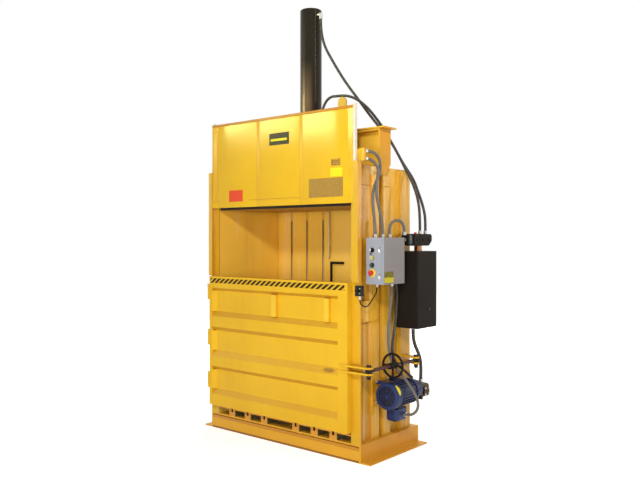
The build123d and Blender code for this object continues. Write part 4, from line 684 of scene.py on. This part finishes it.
def settle(piece, finish, body):
    """Applies a piece's place, gives it its finish and lets it ride on a body."""
    pick(piece)
    bpy.ops.object.transform_apply(location=True, rotation=True, scale=True)
    piece.data.materials.clear()
    piece.data.materials.append(finish_of(finish))
    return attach(piece, body)


def bevelled(piece, width, segments=2):
    """Rounds a piece's sharp edges with an applied Bevel."""
    pick(piece)
    bpy.ops.object.transform_apply(location=False, rotation=False, scale=True)
    modifier = piece.modifiers.new("edge_round", "BEVEL")
    modifier.width = width
    modifier.segments = segments
    modifier.limit_method = "ANGLE"
    bpy.ops.object.modifier_apply(modifier=modifier.name)
    bpy.ops.object.shade_smooth_by_angle(angle=math.radians(35))
    return piece


def slab(name, low, high, width=None, segments=1):
    """A plate between two corners, with its edges rounded by the width given or by a quarter of
    its thickness."""
    pick()
    low, high = Vector(low), Vector(high)
    bpy.ops.mesh.primitive_cube_add(size=1, location=(low + high) / 2)
    piece = named(name)
    piece.scale = high - low
    return bevelled(piece, width or 0.25 * min(piece.scale), segments)


def disc(name, centre, radius, depth, axis, width, sides=32, segments=2):
    """A round bar or disc along one axis, with its edges rounded by the width given."""
    pick()
    turn = {"X": (0, math.pi / 2, 0), "Y": (math.pi / 2, 0, 0), "Z": (0, 0, 0)}[axis]
    bpy.ops.mesh.primitive_cylinder_add(
        vertices=sides, radius=radius, depth=depth, location=centre, rotation=turn)
    return bevelled(named(name), width, segments)


def hexagon(name, centre, across, height, axis):
    """A bolt head or nut: a hexagon with a rounded outer edge."""
    return disc(name, centre, across / math.sqrt(3), height, axis, 0.06 * across, 6, 1)


def joined(name, pieces):
    """Joins pieces into one object."""
    pick(*pieces)
    bpy.ops.object.join()
    return named(name)


def copies(piece, *shifts):
    """A piece and its copies, each with its own mesh, its own number and one of the shifts."""
    stem = piece.name
    piece.name = stem + "_0"
    row = [piece]
    for index, shift in enumerate(shifts, 1):
        twin = piece.copy()
        twin.data = piece.data.copy()
        twin.name = f"{stem}_{index}"
        twin.location = piece.location + Vector(shift)
        bpy.context.scene.collection.objects.link(twin)
        row.append(twin)
    return row


def bolt_row(name, places, across, height, axis, finish):
    """One object for a row of like bolt heads, each on a thin washer."""
    along = Vector([float(letter == axis) for letter in "XYZ"])
    first = Vector(places[0])
    head = hexagon(name, first + along * (HEAD_SEAT + height / 2), across, height, axis)
    washer = disc(name + "_washer", first + along * WASHER_THICK / 2, 0.8 * across, WASHER_THICK, axis,
                  WASHER_THICK / 4, 20, 1)
    bolts = copies(joined(name, [head, washer]), *[Vector(place) - first for place in places[1:]])
    return settle(joined(name, bolts), finish, "frame")


def bead(name, start, end, radius):
    """A weld bead: a thin bar between two points whose rings swell and shrink as the puddle ran."""
    pick()
    start, end = Vector(start), Vector(end)
    length = (end - start).length
    bpy.ops.mesh.primitive_cylinder_add(vertices=8, radius=radius, depth=length, location=(start + end) / 2)
    piece = named(name)
    rings = max(2, round(length / BEAD_PITCH))
    shape = bmesh.new()
    shape.from_mesh(piece.data)
    sides = [edge for edge in shape.edges if abs(edge.verts[0].co.z - edge.verts[1].co.z) > length / 2]
    bmesh.ops.subdivide_edges(shape, edges=sides, cuts=rings - 1, use_grid_fill=True)
    for corner in shape.verts:
        ring = round((corner.co.z / length + 0.5) * rings)
        if ring % 2 == 0:
            corner.co.x *= BEAD_WAIST
            corner.co.y *= BEAD_WAIST
    shape.to_mesh(piece.data)
    shape.free()
    bpy.ops.object.shade_smooth_by_angle(angle=math.radians(60))
    piece.rotation_euler = (end - start).to_track_quat("Z", "Y").to_euler()
    return settle(piece, "yellow_paint", "frame")


def add_cord(name):
    """A hose, conduit or cable as a smooth curve through its own route."""
    points, diameter, slot, stiffness = cord_of(name)
    curve = bpy.data.curves.new(name + "_line", "CURVE")
    curve.dimensions = "3D"
    curve.bevel_depth = diameter / 2
    curve.bevel_resolution = 5
    curve.resolution_u = 10
    curve.use_fill_caps = True
    spline = curve.splines.new("NURBS")
    spline.points.add(len(points) - 1)
    for spot, point in zip(spline.points, points):
        spot.co = (*point, 1.0)
    spline.order_u = 3
    spline.use_endpoint_u = True
    line = bpy.data.objects.new(name + "_line", curve)
    bpy.context.scene.collection.objects.link(line)
    curve.materials.append(finish_of(name))
    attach(line, "frame")
    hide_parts(name)
    return line


# Weld beads: name, start, end and radius, in metres
WELDS = [
    ("weld_rib_seam", (RIB_FACE_X, -0.204, 2.150), (RIB_FACE_X, -0.103, 2.150), 0.0035),
    ("weld_bay_seam", (BAY_FACE_X, -0.390, 2.150), (BAY_FACE_X, -0.204, 2.150), 0.0035),
    ("weld_rib_2_seam", (RIB_FACE_X, -0.045, 2.150), (RIB_FACE_X, 0.053, 2.150), 0.0035),
    ("weld_bay_foot", (BAY_FACE_X, -0.390, 0.141), (BAY_FACE_X, -0.204, 0.141), 0.005),
    ("weld_rib_1_foot", (RIB_FACE_X, -0.204, 0.141), (RIB_FACE_X, -0.103, 0.141), 0.005),
    ("weld_rib_2_foot", (RIB_FACE_X, -0.045, 0.141), (RIB_FACE_X, 0.053, 0.141), 0.005),
    ("weld_post_foot", (RIB_FACE_X, 0.204, 0.141), (RIB_FACE_X, 0.344, 0.141), 0.005),
    ("weld_sill_front", (SILL_FACE_X, -0.404, 0.012), (SILL_FACE_X, -0.404, 0.140), 0.004),
    ("weld_sill_back", (SILL_FACE_X, 0.404, 0.012), (SILL_FACE_X, 0.404, 0.140), 0.004),
    ("weld_foot_side", (SILL_FACE_X, -0.400, 0.012), (SILL_FACE_X, 0.400, 0.012), 0.005),
    ("weld_foot_left", (-SILL_FACE_X, -0.400, 0.012), (-SILL_FACE_X, 0.400, 0.012), 0.005),
]

# Plates: name, finish, body and two corners, then the width and segments of the rounded edge
STRIP_AND_PLATES = [
    # The stud faces are paler plates: painted light on the door's studs
    ("stud_face_0", "stud_enamel", "door", (-0.052, -0.4550, 1.072), (0.004, -0.4540, 1.256)),
    ("stud_face_1", "stud_enamel", "door", (0.530, -0.4550, 1.072), (0.578, -0.4540, 1.256)),
    ("warning_strip", "warning_tape", "door",
     (-0.804, DOOR_FACE_Y - 0.0012, 1.328), (0.745, DOOR_FACE_Y, 1.370)),
    ("red_plate", "red_plate", "gate", (-0.585, SHEET_Y - 0.0015, 2.055), (-0.411, SHEET_Y, 2.154)),
    ("black_plate", "dark_plate", "gate", (-0.086, SHEET_Y - 0.0015, 2.513), (0.141, SHEET_Y, 2.613)),
    ("brown_plate", "brown_plate", "gate", (0.358, SHEET_Y - 0.0015, 2.057), (0.710, SHEET_Y, 2.207)),
    ("lemon_plate", "bright_plate", "gate", (0.582, SHEET_Y - 0.0015, 2.216), (0.702, SHEET_Y, 2.283)),
    ("small_plate", "small_print", "gate", (0.591, SHEET_Y - 0.0015, 2.300), (0.683, SHEET_Y, 2.353)),
    ("plate_bar", "bright_plate", "gate",
     (-0.068, SHEET_Y - 0.0022, 2.546), (0.118, SHEET_Y - 0.0014, 2.566)),
    ("box_label_low", "dull_lemon", "lid",
     (LID_SIDE_X, -0.348, 1.392), (LID_SIDE_X + 0.0012, -0.227, 1.432)),
    ("box_label_high", "label_print", "lid",
     (LID_SIDE_X, -0.348, 1.432), (LID_SIDE_X + 0.0012, -0.227, 1.475)),
]
GATE_EDGES = [
    ("gate_top_fold", "edge_enamel", "gate",
     (GATE_LEFT_X, SHEET_Y - 0.004, 2.733), (GATE_RIGHT_X - 0.002, SHEET_Y, 2.755), 0.0012, 2),
    ("gate_stile", "lap_enamel", "gate",
     (GATE_LEFT_X, SHEET_Y - 0.0025, SHEET_FOOT_Z), (GATE_LEFT_X + 0.062, SHEET_Y, SHEET_TOP_Z), 0.0012, 2),
    ("gate_hem_line", "edge_enamel", "gate", (-0.330, SHEET_Y - 0.0021, 2.063), (0.262, SHEET_Y, 2.066)),
    ("gate_stile_line", "edge_enamel", "gate",
     (GATE_LEFT_X + 0.060, SHEET_Y - 0.0030, SHEET_FOOT_Z), (GATE_LEFT_X + 0.063, SHEET_Y, SHEET_TOP_Z)),
]
SKIRT = [
    ("skirt_edge_front", "edge_enamel", "frame", (-0.840, -0.4035, 0.086), (0.840, -0.3865, 0.120), 0.014, 3),
    # Painted shadow: thin dark strips along the skirt's foot, front and back
    ("skirt_foot_front", "foot_enamel", "frame",
     (-0.840, -0.4052, 0.001), (0.840, -0.4030, 0.018), 0.0008, 2),
    ("skirt_edge_back", "edge_enamel", "frame", (-0.840, 0.3865, 0.086), (0.840, 0.4035, 0.120), 0.014, 3),
    ("skirt_foot_back", "foot_enamel", "frame", (-0.840, 0.4030, 0.001), (0.840, 0.4052, 0.018), 0.0008, 2),
]
BOX_MARKS = [
    ("selector_mark", "white_plastic", "selector",
     (0.9235, SELECTOR_FRONT_Y - 0.0006, 1.632), (0.9325, SELECTOR_FRONT_Y + 0.0004, 1.652)),
    ("lamp_tag", "black_plastic", "frame", (0.905, BOX_FRONT_Y - 0.001, 1.606), (0.922, BOX_FRONT_Y, 1.616)),
    ("box_back_edge", "grey_paint", "frame",
     (0.871, BOX_FRONT_Y - 0.0008, 1.384), (0.874, BOX_FRONT_Y, 1.730)),
]
VALVE_PLATES = [
    ("valve_sleeve", "coil_moulding", "frame", (0.943, 0.024, 1.678), (1.017, 0.076, 1.758), 0.006, 2),
    ("valve_joint", "black_paint", "frame", (VALVE_LOW.x - 0.002, 0.168, VALVE_LOW.z - 0.001),
     (VALVE_HIGH.x + 0.002, 0.176, VALVE_HIGH.z + 0.002), 0.001, 2),
]


def add_plates(rows):
    """Adds a plate for each row of a table."""
    for name, finish, body, low, high, *edge in rows:
        settle(slab(name, low, high, *edge), finish, body)


class BALER_OT_plates(bpy.types.Operator):
    """Fixes the warning strip and the bare plates to the gate, the door and the control box"""
    bl_idname = "baler.plates"
    bl_label = "Strip and plates"

    def execute(self, context):
        add_plates(STRIP_AND_PLATES)
        return {"FINISHED"}


class BALER_OT_gate_trim(bpy.types.Operator):
    """Adds the folded top edge, the stile and the seam strips to the gate"""
    bl_idname = "baler.gate_trim"
    bl_label = "Gate edges"

    def execute(self, context):
        add_plates(GATE_EDGES)
        left, foot, top = GATE_SEAM_X, SHEET_FOOT_Z, SHEET_TOP_Z
        next_seam = (GATE_SHEET_WIDTH, 0, 0)
        lap = slab("gate_lap", (left, SHEET_Y - 0.0016, foot), (left + 0.028, SHEET_Y, top), 0.0008, 2)
        seam = slab("gate_seam", (left, SHEET_Y - 0.0020, foot), (left + 0.003, SHEET_Y - 0.0015, top))
        for piece, finish in ((lap, "lap_enamel"), (seam, "edge_enamel")):
            for strip in copies(piece, next_seam):
                settle(strip, finish, "gate")
        return {"FINISHED"}


class BALER_OT_welds(bpy.types.Operator):
    """Runs weld beads along the ribs, the brackets and the seams of the side"""
    bl_idname = "baler.welds"
    bl_label = "Weld beads"

    def execute(self, context):
        for weld in WELDS:
            bead(*weld)
        add_plates(SKIRT)
        return {"FINISHED"}


class BALER_OT_fastenings(bpy.types.Operator):
    """Puts bolt heads on the cylinder's flange, the motor's plate and the cover below the control box"""
    bl_idname = "baler.fastenings"
    bl_label = "Bolts"

    def execute(self, context):
        across = context.scene.baler_sizes.bolt
        flange = [(x, y, FLANGE_TOP_Z) for x in (-0.105, 0.105) for y in (-0.105, 0.105)]
        bolt_row("cylinder_bolts", flange, across * 1.3, 0.018, "Z", "zinc")
        posts = [(0.821, y, z) for y in (-0.150, 0.004, 0.300) for z in (0.430, 0.590)]
        bolt_row("motor_plate_bolts", posts, across * 0.8, 0.011, "X", "zinc")
        cover = [(0.823, y, z) for y in (-0.345, -0.150) for z in (1.095, 1.224)]
        bolt_row("cover_bolts", cover, across * 0.6, 0.007, "X", "yellow_paint")
        return {"FINISHED"}


class BALER_OT_controls(bpy.types.Operator):
    """Details the control box: clamps, marks, lamp lens, selector mark and tag"""
    bl_idname = "baler.controls"
    bl_label = "Control box"

    def execute(self, context):
        next_clamp = (0, 0, -0.202)
        clamp = disc("lid_clamp", (0.997, BOX_FRONT_Y - 0.003, 1.634), 0.012, 0.006, "Y", 0.002)
        dash = slab("clamp_mark", (0.987, BOX_FRONT_Y - 0.0008, 1.654), (1.009, BOX_FRONT_Y, 1.661))
        for piece, finish in ((clamp, "clamp_nickel"), (dash, "faded_print")):
            for twin in copies(piece, next_clamp):
                settle(twin, finish, "frame")
        add_plates(BOX_MARKS)
        lens = disc("lamp_lens", (0.928, LAMP_FRONT_Y, 1.581), 0.0085, 0.002, "Y", 0.0008)
        settle(lens, "lamp_glass", "lamp_push")
        return {"FINISHED"}


class BALER_OT_power_pack(bpy.types.Operator):
    """Details the motor, the pump, the tank and the valve block"""
    bl_idname = "baler.power_pack"
    bl_label = "Power pack"

    def execute(self, context):
        add_fan_guard()
        add_valve_trim()
        plug = disc("tank_plug", (TANK_SIDE_X + 0.003, 0.206, 1.158), 0.011, 0.006, "X", 0.0015, 24)
        settle(plug, "bronze", "frame")
        cover = disc("pump_cover", (PUMP_SIDE_X + 0.004, PUMP_Y, PUMP_Z), 0.040, 0.012, "X", 0.003, 40)
        settle(cover, "bronze", "frame")
        ways = (-0.026, 0.026)
        bolts = [(PUMP_SIDE_X + 0.009, PUMP_Y + y, PUMP_Z + z) for y in ways for z in ways]
        bolt_row("pump_bolts", bolts, 0.011, 0.006, "X", "zinc")
        return {"FINISHED"}


def add_fan_guard():
    """The fan guard in front of the motor: a dark hole behind rings and spokes."""
    centre = Vector((MOTOR_X, MOTOR_FRONT_Y, MOTOR_Z))
    hole = disc("fan_hole", centre - Vector((0, 0.0006, 0)), 0.078, 0.0012, "Y", 0.0003, 48, 1)
    settle(hole, "black_plastic", "frame")
    pieces = []
    for index, radius in enumerate((0.028, 0.044, 0.060, 0.077)):
        pick()
        bpy.ops.mesh.primitive_torus_add(
            major_segments=48, minor_segments=8, major_radius=radius, minor_radius=0.0026,
            location=centre - Vector((0, 0.002, 0)), rotation=(math.pi / 2, 0, 0))
        pieces.append(named(f"fan_ring_{index}"))
    spoke = slab("fan_spoke", (-0.078, -0.002, -0.002), (0.078, 0.001, 0.002))
    spoke.location = centre - Vector((0, 0.001, 0))
    for turn, twin in enumerate(copies(spoke, (0, 0, 0), (0, 0, 0), (0, 0, 0))):
        twin.rotation_euler = (0, turn * math.pi / 4, 0)
        pieces.append(twin)
    pieces.append(disc("fan_hub", centre - Vector((0, 0.001, 0)), 0.014, 0.005, "Y", 0.0015))
    settle(joined("fan_guard", pieces), "blue_paint", "frame")


def add_valve_trim():
    """Coil sleeve, plugs, joint and red cap of the valve block."""
    add_plates(VALVE_PLATES)
    settle(hexagon("coil_nut", (0.980, 0.013, 1.718), 0.026, 0.010, "Y"), "zinc", "frame")
    plugs = [(VALVE_HIGH.x, y, 1.718) for y in (0.130, 0.215, 0.300)]
    bolt_row("valve_plugs", plugs, 0.016, 0.004, "X", "black_paint")
    cap = disc("valve_red_cap", (1.010, 0.123, VALVE_HIGH.z + 0.006), 0.011, 0.016, "Z", 0.002)
    settle(cap, "red_plastic", "frame")


class BALER_OT_motor_label(bpy.types.Operator):
    """Sticks the bare yellow oval to the motor's shell"""
    bl_idname = "baler.motor_label"
    bl_label = "Motor label"

    def execute(self, context):
        shell_radius, middle_y, half_wide, half_high = 0.1081, -0.199, 0.043, 0.016
        pick()
        bpy.ops.mesh.primitive_circle_add(vertices=48, radius=1, fill_type="TRIFAN")
        label = named("motor_oval")
        shape = bmesh.new()
        shape.from_mesh(label.data)
        bmesh.ops.subdivide_edges(shape, edges=shape.edges[:], cuts=3, use_grid_fill=True)
        for corner in shape.verts:
            angle = math.radians(57) + corner.co.x * half_wide / shell_radius
            corner.co = (MOTOR_X + shell_radius * math.sin(angle), middle_y + corner.co.y * half_high,
                         MOTOR_Z + shell_radius * math.cos(angle))
        shape.to_mesh(label.data)
        shape.free()
        skin = label.modifiers.new("film", "SOLIDIFY")
        skin.thickness = 0.0006
        bpy.ops.object.modifier_apply(modifier=skin.name)
        settle(label, "bright_plate", "frame")
        return {"FINISHED"}


class BALER_OT_switches(bpy.types.Operator):
    """Details the door's limit switch and puts knobs on the latch's pins"""
    bl_idname = "baler.switches"
    bl_label = "Switches and latch"

    def execute(self, context):
        low, high = SWITCH_LOW, SWITCH_HIGH
        mark = slab("switch_mark", (high.x - 0.018, low.y - 0.0012, high.z - 0.026),
                    (high.x - 0.006, low.y, high.z - 0.018), 0.0004, 2)
        for twin in copies(mark, (0, 0, low.z - high.z + 0.044)):
            settle(twin, "dull_mark", "frame")
        middle_z = (low.z + high.z) / 2
        head = disc("switch_head", (low.x + 0.022, low.y - 0.006, middle_z), 0.017, 0.012, "Y", 0.002)
        settle(head, "black_plastic", "frame")
        knob = disc("latch_knob", (0.960, -0.442, 0.677), 0.016, 0.020, "Z", 0.003)
        for twin, body in zip(copies(knob, (0, 0.653, 0)), ("door", "frame")):
            settle(twin, "latch_black", body)
        return {"FINISHED"}


class BALER_OT_finishes(bpy.types.Operator):
    """Gives every node of the frame its finish by the slot that the record names"""
    bl_idname = "baler.finishes"
    bl_label = "Finishes"

    def execute(self, context):
        for name, node in NODES.items():
            if name in CORDS:
                continue
            for place in node.material_slots:
                if not place.material:
                    raise RuntimeError(node.name + " has a slot without a name")
                slot_name = place.material.name.split(".")[0]
                place.material = finish_of(NODE_FINISH.get(name, slot_name))
        return {"FINISHED"}


class BALER_OT_cords(bpy.types.Operator):
    """Lays the hoses, the conduits and the switch cable along their routes"""
    bl_idname = "baler.cords"
    bl_label = "Hoses and conduits"

    def execute(self, context):
        for name in CORDS:
            add_cord(name)
        return {"FINISHED"}


# Lamps: name, place, aim, size, watts, colour and the kind of ray that a lamp is hidden from
LAMPS = [
    ("key_lamp", (4.4, -5.65, 4.6), (0, 0, 1.7), (0.5, 0.5), 215, (1.0, 0.985, 0.96), "glossy"),
    ("fill_lamp", (3.4, -6.6, 1.6), (0, 0, 1.6), (2.6, 1.8), 225, (1.0, 0.97, 0.92), "glossy"),
    ("side_lamp", (3.6, 0.3, 3.9), (0.8, 0, 2.3), (1.0, 1.0), 28, (1.0, 0.70, 0.35), "glossy"),
    ("back_lamp", (-4.0, 6.5, 4.0), (0, 0, 1.6), (3.0, 3.0), 380, (1.0, 0.97, 0.93), "glossy"),
    ("glow_lamp", (-4.6, -5.3, 3.9), (0, -0.44, 2.6), (3.6, 0.6), 280, (1.0, 1.0, 0.42), "diffuse"),
    ("streak_lamp", (4.2, 4.3, 2.35), (0.8, -0.2, 2.0), (0.35, 1.0), 22, (1.0, 0.93, 0.70), "diffuse"),
    ("line_lamp", (5.5, 0.1, 4.4), (0, 0, 3.2), (0.12, 2.4), 22, (1.0, 0.85, 0.65), "diffuse"),
]

# The viewpoint that was solved from the photograph: metres, degrees and millimetres
CAMERA_PLACE = (4.186, -4.819, 1.732)
CAMERA_TILT = 90 - 0.149
CAMERA_TURN = 40.262
CAMERA_LENS = 40.56
CAMERA_SENSOR = 36


class BALER_OT_studio(bpy.types.Operator):
    """Sets up the pale floor, the soft lamps, the white backdrop and the camera"""
    bl_idname = "baler.studio"
    bl_label = "Studio and camera"

    def execute(self, context):
        add_floor()
        add_backdrop()
        for lamp in LAMPS:
            add_lamp(*lamp)
        add_camera()
        return {"FINISHED"}


def white_to_viewer(tree):
    """One for rays from the camera, from mirrors and through glass; nothing for the rest."""
    rays = add_node(tree, "LightPath").outputs
    seen = add_node(tree, "Math", {0: rays["Is Camera Ray"], 1: rays["Is Glossy Ray"]}, operation="ADD")
    through = {0: seen.outputs[0], 1: rays["Is Transmission Ray"]}
    return add_node(tree, "Math", through, operation="ADD").outputs[0]


def add_floor():
    """A pale painted floor that stays white to the viewer and keeps the machine's shadow."""
    pick()
    bpy.ops.mesh.primitive_plane_add(size=30)
    floor = named("studio_floor")
    material = bpy.data.materials.new("pale_studio_floor")
    material.use_nodes = True
    tree = material.node_tree
    tree.nodes.clear()
    paint = add_node(tree, "BsdfDiffuse", Color=(0.86, 0.86, 0.86, 1.0))
    place = add_node(tree, "TexCoord").outputs["Object"]
    away = add_node(tree, "VectorMath", {0: place}, operation="LENGTH").outputs["Value"]
    level = add_node(tree, "MapRange", {"Value": away}, From_Min=1.2, From_Max=3.4, To_Min=0.62)
    power = add_node(tree, "Math", {0: white_to_viewer(tree), 1: level.outputs["Result"]},
                     operation="MULTIPLY").outputs[0]
    glow = add_node(tree, "Emission", {"Strength": power})
    both = add_node(tree, "AddShader", {0: paint.outputs[0], 1: glow.outputs[0]})
    add_node(tree, "OutputMaterial", {"Surface": both.outputs[0]})
    floor.data.materials.append(material)


def add_backdrop():
    """White behind the machine, with a softer grey light from all round."""
    world = bpy.data.worlds.new("studio_world")
    world.use_nodes = True
    tree = world.node_tree
    tree.nodes.clear()
    level = add_node(tree, "MapRange", {"Value": white_to_viewer(tree)}, To_Min=0.20, To_Max=1.0)
    back = add_node(tree, "Background", {"Strength": level.outputs["Result"]},
                    Color=(1.0, 1.0, 1.0, 1.0))
    add_node(tree, "OutputWorld", {"Surface": back.outputs[0]})
    bpy.context.scene.world = world


def add_lamp(name, place, aim, size, watts, colour, hidden_from):
    """A soft rectangular lamp that looks at a point and is hidden from one kind of ray."""
    pick()
    bpy.ops.object.light_add(type="AREA", location=place)
    lamp = named(name)
    lamp.data.shape = "RECTANGLE"
    lamp.data.size, lamp.data.size_y = size
    lamp.data.energy = watts
    lamp.data.color = colour
    lamp.rotation_euler = (Vector(aim) - Vector(place)).to_track_quat("-Z", "Y").to_euler()
    setattr(lamp, "visible_" + hidden_from, False)


def add_camera():
    """The camera at the solved viewpoint, with colours shown as they are."""
    pick()
    bpy.ops.object.camera_add(
        location=CAMERA_PLACE, rotation=(math.radians(CAMERA_TILT), 0, math.radians(CAMERA_TURN)))
    camera = bpy.context.object
    camera.data.sensor_width = CAMERA_SENSOR
    camera.data.lens = CAMERA_LENS
    bpy.context.scene.camera = camera
    bpy.context.scene.view_settings.view_transform = "Standard"


class BALER_PT_panel(bpy.types.Panel):
    """Lists every step that dresses the machine"""
    bl_label = "Card Baler"
    bl_idname = "BALER_PT_panel"
    bl_space_type = "VIEW_3D"
    bl_region_type = "UI"
    bl_category = "Baler"

    def draw(self, context):
        column = self.layout.column()
        for group in (context.scene.baler_colours, context.scene.baler_sizes):
            for key in group.__annotations__:
                column.prop(group, key)
        for step in STEPS:
            column.operator(step.bl_idname)


STEPS = [BALER_OT_finishes, BALER_OT_cords, BALER_OT_plates, BALER_OT_gate_trim, BALER_OT_welds,
         BALER_OT_fastenings, BALER_OT_controls, BALER_OT_power_pack, BALER_OT_motor_label,
         BALER_OT_switches, BALER_OT_studio]
CLASSES = [BalerColours, BalerSizes] + STEPS + [BALER_PT_panel]


def register():
    """Registers the classes and hangs the two groups of settings on the scene."""
    for item in CLASSES:
        bpy.utils.register_class(item)
    bpy.types.Scene.baler_colours = bpy.props.PointerProperty(type=BalerColours)
    bpy.types.Scene.baler_sizes = bpy.props.PointerProperty(type=BalerSizes)


def unregister():
    """Takes away what register added."""
    del bpy.types.Scene.baler_sizes
    del bpy.types.Scene.baler_colours
    for item in reversed(CLASSES):
        bpy.utils.unregister_class(item)


def main():
    """Dresses the machine step by step."""
    register()
    for step in STEPS:
        group, call = step.bl_idname.split(".")
        getattr(getattr(bpy.ops, group), call)()


if __name__ == "__main__":
    main()
